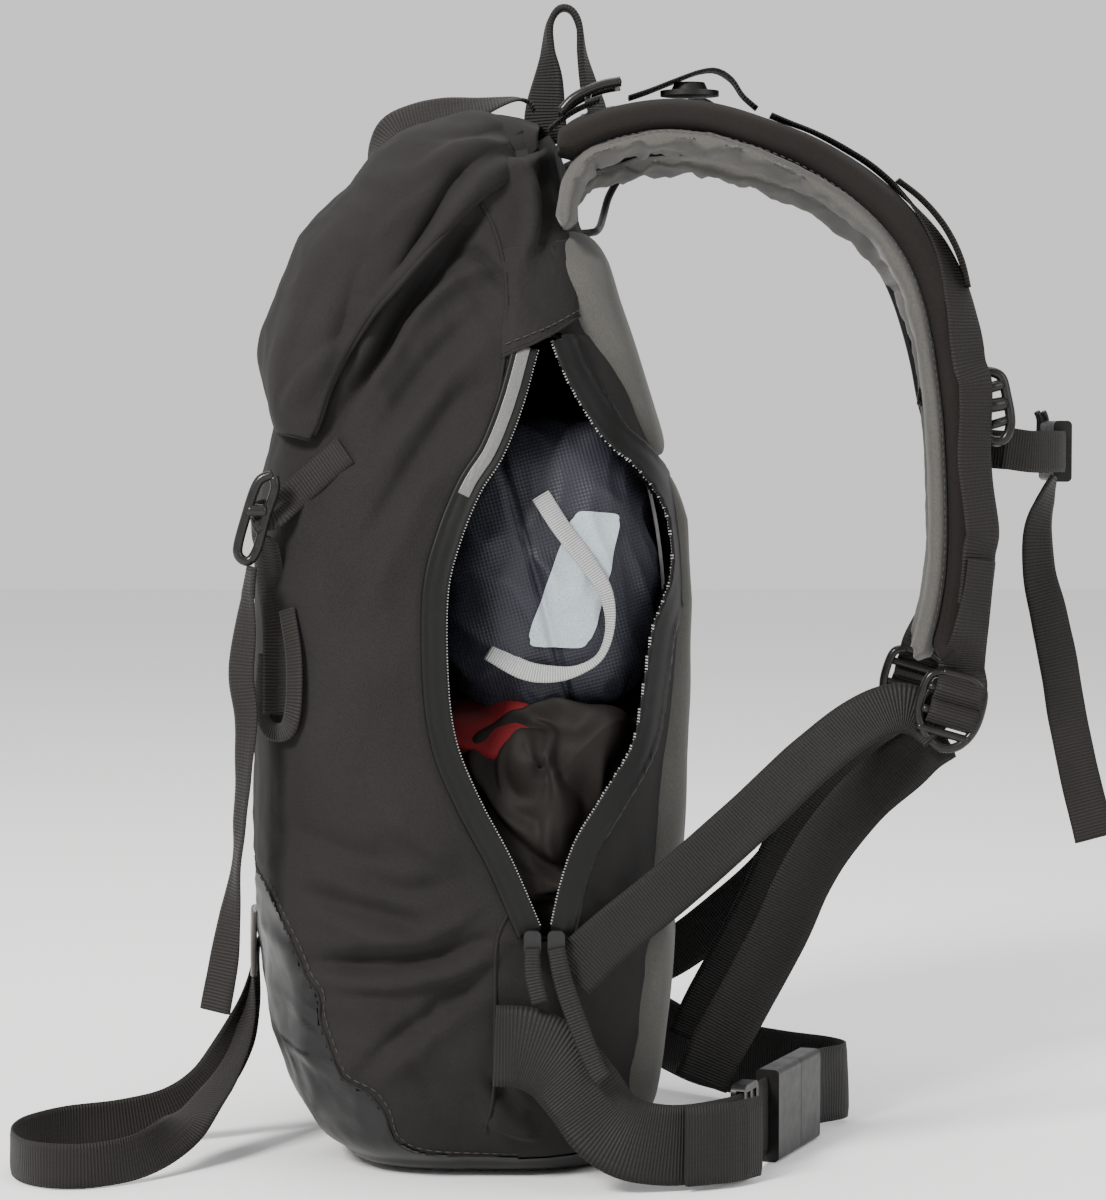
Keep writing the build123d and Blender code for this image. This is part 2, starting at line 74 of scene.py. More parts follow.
# One material: a Principled shader and the nodes that feed it
class Finish:
    def __init__(self, name, colour, rough, metal=0.0, coat=0.0, sheen=0.0):
        self.material = bpy.data.materials.new(name)
        self.material.use_nodes = True
        self.tree = self.material.node_tree
        self.shader = self.tree.nodes["Principled BSDF"]
        self.colour = colour
        self.set("Base Color", (*colour, 1.0))
        self.set("Roughness", rough)
        self.set("Metallic", metal)
        self.set("Coat Weight", coat)
        self.set("Sheen Weight", sheen)
        self.set("Sheen Roughness", 0.5)
        self.set("Specular IOR Level", 0.5)

    def set(self, name, value):
        socket = self.shader.inputs[name]
        if isinstance(value, Tap):
            self.tree.links.new(value.socket, socket)
        else:
            socket.default_value = value

    def node(self, kind, settings=None, inputs=None, output=0):
        made = self.tree.nodes.new("ShaderNode" + kind)
        for name, value in (settings or {}).items():
            if name == "stops":
                ramp = made.color_ramp
                while len(ramp.elements) < len(value):
                    ramp.elements.new(0.5)
                for element, (place, shade) in zip(ramp.elements, value):
                    element.position = place
                    element.color = (*shade, 1.0)
            else:
                setattr(made, name, value)
        for name, value in (inputs or {}).items():
            socket = made.inputs[name]
            if isinstance(value, Tap):
                self.tree.links.new(value.socket, socket)
            else:
                socket.default_value = value
        return Tap(self.tree, made.outputs[output])

    def place(self, scale=(1, 1, 1)):
        spot = self.node("TexCoord", output=3)
        return self.node("Mapping", inputs={"Vector": spot, "Scale": scale})

    def clouds(self, scale, detail=3.0, stretch=(1, 1, 1), rough=0.5):
        return self.node("TexNoise", inputs={
            "Vector": self.place(stretch), "Scale": scale, "Detail": detail, "Roughness": rough})

    def tint(self, factor, light, dark=None):
        dark = dark or self.colour
        mixed = self.node("Mix", {"data_type": "RGBA"}, None, 2)
        made = mixed.socket.node
        made.inputs[6].default_value = (*dark, 1.0)
        made.inputs[7].default_value = (*light, 1.0)
        self.tree.links.new(factor.socket, made.inputs[0])
        self.set("Base Color", mixed)
        return mixed

    def relief(self, height, strength, distance, under=None):
        inputs = {"Height": height, "Strength": strength, "Distance": distance}
        if under is not None:
            inputs["Normal"] = under
        made = self.node("Bump", inputs=inputs)
        self.set("Normal", made)
        return made

    # Distance across and along a strap, in metres, from its weave map
    def across(self):
        spot = self.node("UVMap", {"uv_map": "weave"})
        parts = self.tree.nodes.new("ShaderNodeSeparateXYZ")
        self.tree.links.new(spot.socket, parts.inputs[0])
        return Tap(self.tree, parts.outputs[0]), Tap(self.tree, parts.outputs[1])


def shade(colour, factor):
    return tuple(min(1.0, value * factor) for value in colour)


clothLook = {"colour": (0.0148, 0.0137, 0.0133), "rough": 0.84, "threads": 1500, "sheen": 0.02}


def clothFinish(name, colour, rough, sheen, threads=1500, weave=0.00012, gloss=0.09):
    made = Finish(name, colour, rough, sheen=sheen)
    made.set("Specular IOR Level", gloss)
    heather = made.clouds(2600, 2.0, (1.0, 1.0, 0.45))
    patches = made.clouds(14, 4.0)
    dust = made.clouds(700, 3.0)
    made.tint((heather * 0.85 + patches * 0.35 - 0.28).most(0.0).least(1.0), shade(colour, 1.7), shade(colour, 0.55))
    made.set("Roughness", rough - 0.1 * patches + 0.06)
    warp = made.node("TexWave", {"wave_type": "BANDS", "bands_direction": "DIAGONAL"}, {
        "Vector": made.place(), "Scale": threads / 3, "Distortion": 2.0, "Detail": 1.0})
    made.relief(warp * 0.5 + heather * 0.7 + dust * 0.4, 0.5, weave)
    return made.material


def webbingFinish(name, colour, rough, rib=0.0015, cross=0.0):
    made = Finish(name, colour, rough, sheen=0.02)
    made.set("Specular IOR Level", 0.16)
    across, along = made.across()
    ribs = (along * (2 * math.pi / rib)).sine()
    cords = (across * (2 * math.pi / 0.0026)).sine()
    weave = ribs * 0.85 + cords * 0.12 + (ribs * cords) * 0.14
    fuzz = made.clouds(2200, 2.0)
    wear = made.clouds(30, 3.0)
    made.tint((weave * 0.3 + fuzz * 0.5 + wear * 0.25 - 0.05).most(0.0).least(1.0), shade(colour, 1.75),
              shade(colour, 0.55))
    made.set("Roughness", rough - 0.12 * fuzz + 0.04)
    made.relief(weave + fuzz * 0.5, 0.75, 0.00035)
    return made.material


def plasticFinish(name, colour, rough):
    made = Finish(name, colour, rough, coat=0.0)
    made.set("Specular IOR Level", 0.22)
    grain = made.clouds(1800, 2.0)
    scuffs = made.clouds(160, 4.0)
    made.tint((scuffs * 1.4 - 0.45).most(0.0).least(1.0), shade(colour, 1.7), colour)
    made.set("Roughness", rough + 0.22 * scuffs - 0.08)
    made.relief(grain, 0.2, 0.0001)
    return made.material


def ripstopFinish(name, colour, rough, cell=0.0024, coat=0.0):
    made = Finish(name, colour, rough, sheen=0.0, coat=coat)
    made.set("Specular IOR Level", 0.25)
    spot = made.tree.nodes.new("ShaderNodeSeparateXYZ")
    made.tree.links.new(made.place().socket, spot.inputs[0])
    sideways = Tap(made.tree, spot.outputs[0])
    upward = Tap(made.tree, spot.outputs[2])
    turned = (sideways * 0.5 + upward * 0.86) * (2 * math.pi / cell)
    other = (sideways * 0.86 - upward * 0.5) * (2 * math.pi / cell)
    grid = turned.sine() * other.sine()
    clouds = made.clouds(60, 3.0)
    made.tint((grid * 0.3 + clouds * 0.6 + 0.05).most(0.0).least(1.0), shade(colour, 1.5), shade(colour, 0.7))
    made.set("Roughness", rough - 0.15 * grid + 0.1 * clouds)
    made.relief(grid, 0.45, 0.0003)
    return made.material


shellCloth = clothFinish("shellCloth", clothLook["colour"], clothLook["rough"], clothLook["sheen"])
strapCloth = clothFinish("strapCloth", (0.0120, 0.0103, 0.0092), 0.88, 0.02)
liningCloth = clothFinish("liningCloth", (0.0090, 0.0082, 0.0078), 0.8, 0.02)
bootCloth = clothFinish("bootCloth", (0.0046, 0.0046, 0.0050), 0.42, 0.0, weave=0.00006, gloss=0.26)
greyKnit = clothFinish("greyKnit", (0.068, 0.066, 0.060), 0.9, 0.12, threads=1100, weave=0.0002)
webDark = webbingFinish("webDark", (0.0112, 0.0103, 0.0096), 0.62)
webThin = webbingFinish("webThin", (0.0118, 0.0104, 0.0094), 0.64, rib=0.0016)
webGrey = webbingFinish("webGrey", (0.30, 0.30, 0.30), 0.6, rib=0.0012)
buckleBlack = plasticFinish("buckleBlack", (0.0065, 0.0062, 0.0060), 0.36)
buckleSatin = plasticFinish("buckleSatin", (0.0090, 0.0085, 0.0080), 0.22)
zipBlack = plasticFinish("zipBlack", (0.010, 0.010, 0.010), 0.3)
zipTape = clothFinish("zipTape", (0.0062, 0.0062, 0.0060), 0.45, 0.0, weave=0.00005, gloss=0.14)
# Light grey colour for the glossy laminate strip on the zip tape: a painted sheen, the light the laminate reflects
zipSheen = clothFinish("zipSheen", (0.10, 0.10, 0.099), 0.34, 0.0, weave=0.00012, gloss=0.5)
# Light grey coil colour: painted glints on black coil teeth
zipCoil = plasticFinish("zipCoil", (0.20, 0.20, 0.195), 0.3)
navyCloth = ripstopFinish("navyCloth", (0.0155, 0.0160, 0.0225), 0.5)
redCloth = clothFinish("redCloth", (0.125, 0.0085, 0.0110), 0.7, 0.05)
brownCloth = clothFinish("brownCloth", (0.0125, 0.0108, 0.0097), 0.62, 0.0, weave=0.00006, gloss=0.08)
patchPrint = clothFinish("patchPrint", (0.31, 0.36, 0.385), 0.6, 0.02, weave=0.00004)
fuzzTape = clothFinish("fuzzTape", (0.045, 0.042, 0.039), 0.95, 0.4, weave=0.0006)
stitchThread = clothFinish("stitchThread", (0.040, 0.037, 0.034), 0.7, 0.1)
print("materials ready")


# Mesh tools
def keepPiece(name, verts, faces, material, body="pack", nodes=(), weave=None, smooth=True):
    mesh = bpy.data.meshes.new(name)
    mesh.from_pydata([tuple(v) for v in verts], [], [tuple(f) for f in faces])
    mesh.materials.append(material)
    if smooth:
        mesh.polygons.foreach_set("use_smooth", [True] * len(mesh.polygons))
    if weave is not None:
        layer = mesh.uv_layers.new(name="weave")
        index = np.empty(len(mesh.loops), dtype=np.int32)
        mesh.loops.foreach_get("vertex_index", index)
        layer.data.foreach_set("uv", np.asarray(weave, dtype=np.float32)[index].ravel())
    mesh.validate()
    piece = bpy.data.objects.new(name, mesh)
    bpy.context.scene.collection.objects.link(piece)
    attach(piece, body)
    if nodes:
        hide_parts(*nodes)
    return piece


# Evenly spaced places on a Catmull-Rom curve through the points
def smoothLine(points, count):
    points = np.asarray(points, dtype=float)
    ends = np.vstack([2 * points[0] - points[1], points, 2 * points[-1] - points[-2]])
    fine = []
    for i in range(len(points) - 1):
        a, b, c, d = ends[i:i + 4]
        for t in np.linspace(0, 1, 24, endpoint=False):
            fine.append(0.5 * (2 * b + (c - a) * t + (2 * a - 5 * b + 4 * c - d) * t * t
                               + (3 * b - a - 3 * c + d) * t ** 3))
    fine.append(points[-1])
    fine = np.array(fine)
    steps = np.linalg.norm(np.diff(fine[:, :3], axis=0), axis=1)
    run = np.concatenate([[0], np.cumsum(steps)])
    even = np.linspace(0, run[-1], count)
    return np.stack([np.interp(even, run, fine[:, k]) for k in range(fine.shape[1])], axis=1), run[-1]


def unit(vectors):
    return vectors / np.maximum(np.linalg.norm(vectors, axis=-1, keepdims=True), 1e-12)


def gridFaces(rows, columns, closedAcross=False, closedAlong=False):
    faces = []
    lastRow = rows if closedAlong else rows - 1
    lastColumn = columns if closedAcross else columns - 1
    for r in range(lastRow):
        for c in range(lastColumn):
            nextR, nextC = (r + 1) % rows, (c + 1) % columns
            faces.append((r * columns + c, r * columns + nextC, nextR * columns + nextC, nextR * columns + c))
    return faces


# Flat webbing. A route point is x, y, z in mm, and may add a face direction and a width
def strap(name, route, width, thick, material, body="pack", nodes=(), face=(0, -1, 0),
          step=2.5, ripple=0.0, seed=0, hem=False):
    table = []
    for point in route:
        row = list(point[:3])
        row += list(point[3]) if len(point) > 3 and point[3] is not None else list(face)
        row.append(point[4] if len(point) > 4 else width)
        table.append(row)
    rough = sum(math.dist(a[:3], b[:3]) for a, b in zip(table, table[1:]))
    count = max(8, int(rough / step))
    line, length = smoothLine(table, count)
    place, facing, widths = line[:, :3], line[:, 3:6], line[:, 6]
    tangent = unit(np.gradient(place, axis=0))
    facing = unit(facing - (facing * tangent).sum(1, keepdims=True) * tangent)
    side = np.cross(tangent, facing)
    half = thick / 2
    columns = []
    for lane in np.linspace(-1, 1, 9):
        columns.append((lane, half, 1))
    for lane in np.linspace(1, -1, 9):
        columns.append((lane, -half, -1))
    verts, weave = [], []
    for i in range(count):
        along = length * i / (count - 1)
        for lane, lift, sign in columns:
            edge = abs(lane) > 0.99
            reach = lane * (widths[i] / 2 - (0 if not edge else 0.0))
            rise = lift * (0.45 if edge else 1.0)
            wave = ripple * noise.noise(Vector((along * 0.05, lane * 0.8, seed * 7.3)))
            if hem and (along < 14 or along > length - 14):
                rise *= 1.7
            spot = place[i] + side[i] * reach + facing[i] * (rise + wave)
            verts.append(spot * mm)
            weave.append((reach * mm, along * mm))
    faces = gridFaces(count, len(columns), closedAcross=True)
    n = len(columns)
    for start in (0, (count - 1) * n):
        for k in range(8):
            quad = (start + k, start + k + 1, start + n - 2 - k, start + n - 1 - k)
            faces.append(quad if start else quad[::-1])
    return keepPiece(name, verts, faces, material, body, nodes, weave)


# A round cord, bar or thread through points in mm
def rod(name, route, radius, material, body="pack", nodes=(), step=2.0, ring=8, closed=False):
    rough = sum(math.dist(a, b) for a, b in zip(route, route[1:]))
    count = max(6, int(rough / step))
    line, length = smoothLine(route, count)
    tangent = unit(np.gradient(line, axis=0))
    verts = []
    guide = np.array([0.0, 1.0, 0.0])
    if abs(tangent[0] @ guide) > 0.8:
        guide = np.array([0.0, 0.0, 1.0])
    for i in range(count):
        guide = unit(guide - (guide @ tangent[i]) * tangent[i])
        other = np.cross(tangent[i], guide)
        for k in range(ring):
            angle = 2 * math.pi * k / ring
            verts.append((line[i] + radius * (math.cos(angle) * guide + math.sin(angle) * other)) * mm)
    faces = gridFaces(count, ring, closedAcross=True)
    faces.append(tuple(range(ring))[::-1])
    faces.append(tuple(range((count - 1) * ring, count * ring)))
    return keepPiece(name, verts, faces, material, body, nodes)


# Joins meshes into one piece; the first keeps its name, body and slot
def joinPieces(first, *others):
    parts = [first, *others]
    verts, faces, uvs, start = [], [], [], 0
    hasWeave = all("weave" in p.data.uv_layers for p in parts)
    for part in parts:
        mesh = part.data
        verts += [v.co[:] for v in mesh.vertices]
        faces += [[start + k for k in p.vertices] for p in mesh.polygons]
        start += len(mesh.vertices)
        if hasWeave:
            uvs += [u.uv[:] for u in mesh.uv_layers["weave"].data]
    mesh = bpy.data.meshes.new(first.name)
    mesh.from_pydata(verts, [], faces)
    mesh.materials.append(first.data.materials[0])
    mesh.polygons.foreach_set("use_smooth", [True] * len(mesh.polygons))
    if hasWeave:
        layer = mesh.uv_layers.new(name="weave")
        layer.data.foreach_set("uv", np.asarray(uvs, dtype=np.float32).ravel())
    old = first.data
    first.data = mesh
    mesh.name = first.name
    bpy.data.meshes.remove(old)
    for part in others:
        bpy.data.objects.remove(part)
    return first


# The bag's skin: height, front, back and half width in mm
bagTable = np.array([
    (0, -66, 20, 68), (2, -88, 30, 86), (10, -108, 38, 103), (28, -124, 44, 117), (50, -135, 48, 125),
    (90, -143, 52, 131), (140, -146, 56, 135), (210, -147, 60, 138), (280, -147, 61, 138), (325, -145, 56, 133),
    (350, -139, 49, 129), (372, -134, 42, 125), (400, -130, 31, 118), (436, -113, 17, 107), (462, -92, 8, 95),
    (474, -74, 4, 82), (479, -50, 0, 60)], dtype=float)
bagLook = {"foldBoost": 1.3, "squareness": 3.3, "rearLift": 22.0, "columns": 380, "rows": 250, "fabric": 1.6}

# Folds: side (-1 right, 1 left), half width, height, and the (x, z) places it runs through, in mm
upperFolds = [
    (5.0, 6.0, (-21.5, 474), (-42, 459.7), (-56.6, 441), (-69, 422.5)),
    (5.5, -9.5, (-30, 470), (-44.2, 451.4), (-54.5, 434.9), (-69, 414.3), (-83.4, 389.5), (-95.8, 371), (-104, 356)),
    (4.6, 6.0, (-27.7, 432.8), (-42.1, 426.7), (-56.6, 416.3), (-67.9, 406), (-76, 391), (-86, 378), (-98, 360)),
    (4.0, -4.0, (-21.5, 422), (-33.9, 437), (-46, 440)),
    (6.5, -3.2, (-34, 410), (-54.5, 391), (-68, 374), (-80, 354)),
    (6.0, 2.6, (-26, 398), (-48, 380), (-66, 356), (-84, 330)),
    (5.0, -2.2, (-23.6, 378), (-44.2, 371), (-66.9, 338), (-90, 300)),
    (7.0, 1.8, (-30, 352), (-56, 330), (-72, 300), (-92, 262)),
    (4.5, -3.0, (-1, 488), (-3, 452), (-8, 430)),
    (4.5, 2.6, (-12, 480), (-10, 452), (-16, 432)),
    (6.0, -1.8, (-96, 348), (-112, 322), (-118, 284)),
]
lowerFolds = [
    (3.8, -5.4, (-116, 106.5), (-100, 105.5), (-84, 106), (-54, 110.6), (-28, 120)),
    (4.6, 4.2, (-110, 98), (-90, 97), (-72, 97.4), (-44.8, 103), (-27, 111)),
    (5.0, 2.6, (-112, 116), (-80, 118), (-50, 124), (-32, 136)),
    (5.5, -3.0, (-27, 108), (-52, 88), (-75.3, 69.5), (-96.6, 48.2)),
    (6.0, 2.4, (-36, 92), (-60, 70), (-84, 48)),
    (6.5, -2.8, (-127, 172), (-108, 163), (-90.5, 157.8), (-66.2, 154.7)),
    (5.5, -3.4, (-99.6, 152), (-80, 145), (-66.2, 141), (-44.8, 145.6)),
    (6.5, 2.6, (-80, 178), (-62, 166), (-44, 154)),
    (5.0, -2.8, (-120, 140), (-100, 134), (-84.4, 130.4), (-54, 122)),
    (6.0, 2.2, (-116, 128), (-90, 122), (-62, 114)),
    (3.8, -4.2, (-31, 52), (-17.5, 36), (-2, 24)),
    (4.2, 3.0, (-34, 34), (-20, 27), (-6, 22)),
    (6.0, -1.8, (-84, 84), (-66, 62), (-52, 34)),
    (9.0, 1.6, (-122, 250), (-112, 210), (-96, 180)),
    (10.0, -1.5, (-112, 330), (-100, 280), (-84, 240)),
    (5.0, -2.6, (12, 150), (26, 124), (38, 96)),
    (5.0, 2.2, (20, 176), (32, 150), (44, 120)),
    (5.0, -2.4, (30, 376), (36, 352), (48, 340)),
    (5.0, 2.0, (20, 400), (27, 382), (38, 362)),
]
bagFolds = [(-1, *fold) for fold in upperFolds + lowerFolds]
bagFolds += [(1, fold[0] * 1.2, fold[1] * 0.8, *[(x - 3, z + 5) for x, z in fold[2:]]) for fold in upperFolds[:7] + lowerFolds]


# Smooth values of a table's other columns at heights z
def tableAt(table, z):
    z = np.clip(z, table[0, 0], table[-1, 0])
    heights = table[:, 0]
    slopes = np.gradient(table[:, 1:], heights, axis=0)
    i = np.clip(np.searchsorted(heights, z, side="right") - 1, 0, len(heights) - 2)
    span = (heights[i + 1] - heights[i])[..., None]
    t = ((z - heights[i]) / span[..., 0])[..., None]
    a, b = table[i, 1:], table[i + 1, 1:]
    sa, sb = slopes[i] * span, slopes[i + 1] * span
    steep = np.abs(b - a) * 3 + 1e-6
    sa, sb = np.clip(sa, -steep, steep), np.clip(sb, -steep, steep)
    return ((2 * t ** 3 - 3 * t ** 2 + 1) * a + (t ** 3 - 2 * t ** 2 + t) * sa
            + (-2 * t ** 3 + 3 * t ** 2) * b + (t ** 3 - t ** 2) * sb)


# Raises or sinks places near each fold's line, with one flank steeper than the other
def foldHeight(folds, side, x, z):
    total = np.zeros_like(x)
    for s, width, height, *line in folds:
        line, run = smoothLine(line, 14)
        best = np.full(x.shape, 1e9)
        signed, along = np.zeros_like(x), np.zeros_like(x)
        for k in range(len(line) - 1):
            (x0, z0), (x1, z1) = line[k], line[k + 1]
            dx, dz = x1 - x0, z1 - z0
            long2 = dx * dx + dz * dz
            t = np.clip(((x - x0) * dx + (z - z0) * dz) / long2, 0, 1)
            gx, gz = x - x0 - t * dx, z - z0 - t * dz
            gap = np.hypot(gx, gz)
            near = gap < best
            best = np.where(near, gap, best)
            signed = np.where(near, gx * dz - gz * dx, signed)
            along = np.where(near, (k + t) / (len(line) - 1), along)
        ends = np.clip(np.minimum(along + 0.05, 1.05 - along) / 0.3, 0, 1)
        sharp = np.where(signed > 0, 1.5, 0.85)
        total += np.where(side * s > 0, 1, 0) * height * ends * np.exp(-(best / width * sharp) ** 2)
    return total


# Ridged noise: sharp creases that run along one slanting direction
def creased(points, scale, seed, turn=0.0, octaves=2):
    out = np.empty(len(points))
    c, s = math.cos(turn), math.sin(turn)
    for i, p in enumerate(points):
        u, v = p[0] * c + p[2] * s, p[2] * c - p[0] * s
        total, size, step = 0.0, 1.0, 1.0
        for k in range(octaves):
            spot = Vector((u * scale[0] * step + seed, p[1] * scale[1] * step, v * scale[2] * step + k * 9.1))
            total += size * (0.5 - min(1.0, abs(noise.noise(spot)) * 2.4))
            size, step = size * 0.5, step * 2.1
        out[i] = total
    return out


def cloudy(points, scale, seed, octaves=3):
    out = np.empty(len(points))
    for i, p in enumerate(points):
        out[i] = noise.fractal(Vector((p[0] * scale[0] + seed, p[1] * scale[1], p[2] * scale[2])), 1.0, 2.0, octaves)
    return out


def bagPoint(angle, z, grow=0.0):
    front, back, half = np.moveaxis(tableAt(bagTable, z), -1, 0)
    c, s = np.cos(angle), np.sin(angle)
    n = bagLook["squareness"]
    reach = (np.abs(c) ** n + np.abs(s) ** n) ** (-1 / n)
    x = (front + back) / 2 + c * reach * ((back - front) / 2 + grow)
    y = s * reach * (half + grow)
    share = np.clip((x - front) / np.maximum(back - front, 1), 0, 1)
    lift = bagLook["rearLift"] * share ** 1.5 * np.clip((z - 400) / 79, 0, 1) ** 1.6
    return x, y, z + lift


# The skin's y at one x and z, without folds
def bagSide(x, z, side=-1, grow=0.0):
    x, z = np.asarray(x, float), np.asarray(z, float)
    front, back, half = np.moveaxis(tableAt(bagTable, z), -1, 0)
    n = bagLook["squareness"]
    part = np.clip(np.abs((x - (front + back) / 2) / ((back - front) / 2)), 0, 0.999)
    return side * (half * (1 - part ** n) ** (1 / n) + grow)


def bagFoldsAt(x, y, z):
    side = np.where(y < 0, -1.0, 1.0)
    half = tableAt(bagTable, z)[..., 2]
    onSide = np.clip((np.abs(y) / half - 0.55) / 0.35, 0, 1)
    return foldHeight(bagFolds, side, x, z) * onSide * bagLook["foldBoost"]


def makeGridNormals(grid, closed=True):
    along = np.gradient(grid, axis=0)
    if closed:
        across = np.roll(grid, -1, axis=1) - np.roll(grid, 1, axis=1)
    else:
        across = np.gradient(grid, axis=1)
    return unit(np.cross(across, along))


# The side opening's two toothed edges, x and z in mm, from its top down
teethFront = [(-8, 392), (-15, 366), (-24, 343), (-34, 327), (-43, 305), (-49, 280), (-49, 240), (-45, 211),
              (-34, 184), (-20, 157), (-6, 124)]
teethRear = [(-1, 396), (7, 377), (23, 351), (38, 337), (50, 319), (54, 300), (53, 284), (45, 262), (41, 236),
             (36, 209), (23, 186), (11, 166), (4, 146), (-1, 124)]
openingLook = {"tapeWidth": 11.0, "toothPitch": 1.45, "lip": 2.2}

frontLine = smoothLine(teethFront, 160)[0]
rearLine = smoothLine(teethRear, 160)[0]


# True where a place is inside the opening, grown outwards in x by some mm
def insideLens(x, z, grow=0.0):
    heights = frontLine[::-1, 1], rearLine[::-1, 1]
    left = np.interp(z, heights[0], frontLine[::-1, 0]) - grow
    right = np.interp(z, heights[1], rearLine[::-1, 0]) + grow
    return (z < 396 + grow) & (z > 123 - grow) & (x > left) & (x < right)


def makeSkin():
    rows, columns = bagLook["rows"], bagLook["columns"]
    angles = np.linspace(0, 2 * math.pi, columns, endpoint=False)
    low = np.linspace(0, 1, 30) ** 1.6 * 28
    high = np.linspace(28, 479, rows - 30 + 1)[1:]
    heights = np.concatenate([low, high])
    a, z = np.meshgrid(angles, heights)
    x, y, zz = bagPoint(a, z)
    grid = np.stack([x, y, zz], axis=-1)
    normal = makeGridNormals(grid)
    outward = np.stack([np.cos(a), np.sin(a), np.zeros_like(a)], axis=-1)
    normal *= np.sign((normal * outward).sum(-1, keepdims=True) + 1e-9)
    flat = grid.reshape(-1, 3)
    soft = cloudy(flat, (0.011, 0.013, 0.007), 3.0, 3) * 2.4
    fine = cloudy(flat, (0.05, 0.05, 0.028), 8.0, 3) * 0.8
    upper = np.clip((flat[:, 2] - 330) / 60, 0, 1)
    lower = np.clip((190 - flat[:, 2]) / 60, 0, 1) * np.clip((flat[:, 2] - 20) / 30, 0, 1)
    fine += creased(flat, (0.034, 0.012, 0.009), 2.0, 0.62) * 2.3 * upper
    fine += creased(flat, (0.012, 0.012, 0.030), 6.0, -0.35) * 2.2 * lower
    fine += creased(flat, (0.022, 0.012, 0.008), 4.0, 0.15) * 1.1
    push = bagFoldsAt(flat[:, 0], flat[:, 1], flat[:, 2]) + soft + fine
    calm = np.clip(flat[:, 2] / 22, 0, 1)
    backish = np.clip((flat[:, 0] - 20) / 20, 0, 1) * 0.6
    nearZip = np.exp(-((np.minimum(np.abs(flat[:, 0] - np.interp(flat[:, 2], frontLine[::-1, 1], frontLine[::-1, 0])),
                                   np.abs(flat[:, 0] - np.interp(flat[:, 2], rearLine[::-1, 1], rearLine[::-1, 0]))))
                       / 16) ** 2) * (flat[:, 1] < 0) * (flat[:, 2] > 118) * (flat[:, 2] < 400)
    push = push * calm * (1 - backish) * (1 - 0.75 * nearZip) + openingLook["lip"] * nearZip
    moved = flat + normal.reshape(-1, 3) * push[:, None]
    moved[:, 2] = np.maximum(moved[:, 2], 0.3)
    return moved.reshape(rows, columns, 3), normal


skin, skinNormal = makeSkin()
bootEdge = [(-150, 150), (-137, 140), (-129, 128), (-121, 111), (-116, 99), (-110, 90), (-110, 78), (-105, 64),
            (-99, 50), (-86, 43), (-79, 33), (-75, 20), (-60, 13), (-16, 11), (60, 11)]
bootX, bootZ = np.array(bootEdge).T


def inBoot(x, z):
    return z < np.interp(x, bootX, bootZ)


# The part of the skin whose faces pass a test on their middle
def patchOfSkin(name, keep, material, nodes, grow=0.0, flip=False):
    rows, columns = skin.shape[:2]
    grid = skin + skinNormal * grow
    flat = grid.reshape(-1, 3)
    faces = np.array(gridFaces(rows, columns, closedAcross=True))
    middle = skin.reshape(-1, 3)[faces].mean(axis=1)
    faces = faces[keep(middle[:, 0], middle[:, 1], middle[:, 2])]
    used, index = np.unique(faces, return_inverse=True)
    faces = index.reshape(faces.shape)
    if flip:
        faces = faces[:, ::-1]
    return keepPiece(name, flat[used] * mm, faces, material, "pack", nodes)


# A disc that closes the skin at its first or last row
def closeEnd(name, row, material):
    ring = skin[row]
    centre = ring.mean(axis=0)
    verts = [centre * mm]
    faces = []
    count = len(ring)
    for share in (0.35, 0.7, 1.0):
        verts += [(centre + (p - centre) * share) * mm for p in ring]
    for k in range(count):
        faces.append((0, 1 + k, 1 + (k + 1) % count))
    for band in range(2):
        for k in range(count):
            a, b = 1 + band * count + k, 1 + band * count + (k + 1) % count
            faces.append((a, a + count, b + count, b))
    if row == 0:
        faces = [f[::-1] for f in faces]
    return keepPiece(name, verts, faces, material, "pack")


def isSideRight(x, y, z):
    return (~inBoot(x, z)) & (z < 452) & (x > -118) & (x < 36) & (y < 0)


patchOfSkin("sidePanelRight", lambda x, y, z: isSideRight(x, y, z) & ~insideLens(x, z, 5), shellCloth,
            ("side_panel_right",))
patchOfSkin("sidePanelLeft", lambda x, y, z: (~inBoot(x, z)) & (z < 452) & (x > -118) & (x < 36) & (y >= 0),
            shellCloth, ("side_panel_left",))
patchOfSkin("frontPanel", lambda x, y, z: (~inBoot(x, z)) & (z < 452) & (x <= -118), shellCloth, ("front_panel",))
patchOfSkin("backPanel", lambda x, y, z: (~inBoot(x, z)) & (z < 452) & (x >= 36) & ~((y < 0) & insideLens(x, z, 5)),
            shellCloth, ("back_panel",))
topPanel = patchOfSkin("topPanel", lambda x, y, z: (~inBoot(x, z)) & (z >= 452), shellCloth, ("top_panel",))
joinPieces(topPanel, closeEnd("topCap", -1, shellCloth))
boot = patchOfSkin("baseBoot", lambda x, y, z: inBoot(x, z), bootCloth, ("base_boot",), grow=0.8)
joinPieces(boot, closeEnd("bootCap", 0, bootCloth))
patchOfSkin("bagLining", lambda x, y, z: ~insideLens(x, z, 3) | (y > 0), liningCloth, (), grow=-2.6, flip=True)
print("bag skin ready")


# A place on the right side of the skin with its folds, raised by lift mm
def skinSpot(x, z, lift=0.0, side=-1):
    rows, columns = skin.shape[:2]
    flat = skinSpot.flat
    y = float(bagSide(x, min(z, 470), side))
    best = np.argmin(((flat - np.array([x, y, z])) ** 2).sum(1))
    base = flat[best]
    normal = skinSpot.normals[best]
    gap = np.array([x, 0, z]) - np.array([base[0], 0, base[2]])
    slide = gap - (gap @ normal) * normal
    return base + slide + normal * lift


skinSpot.flat = skin.reshape(-1, 3)
skinSpot.normals = skinNormal.reshape(-1, 3)


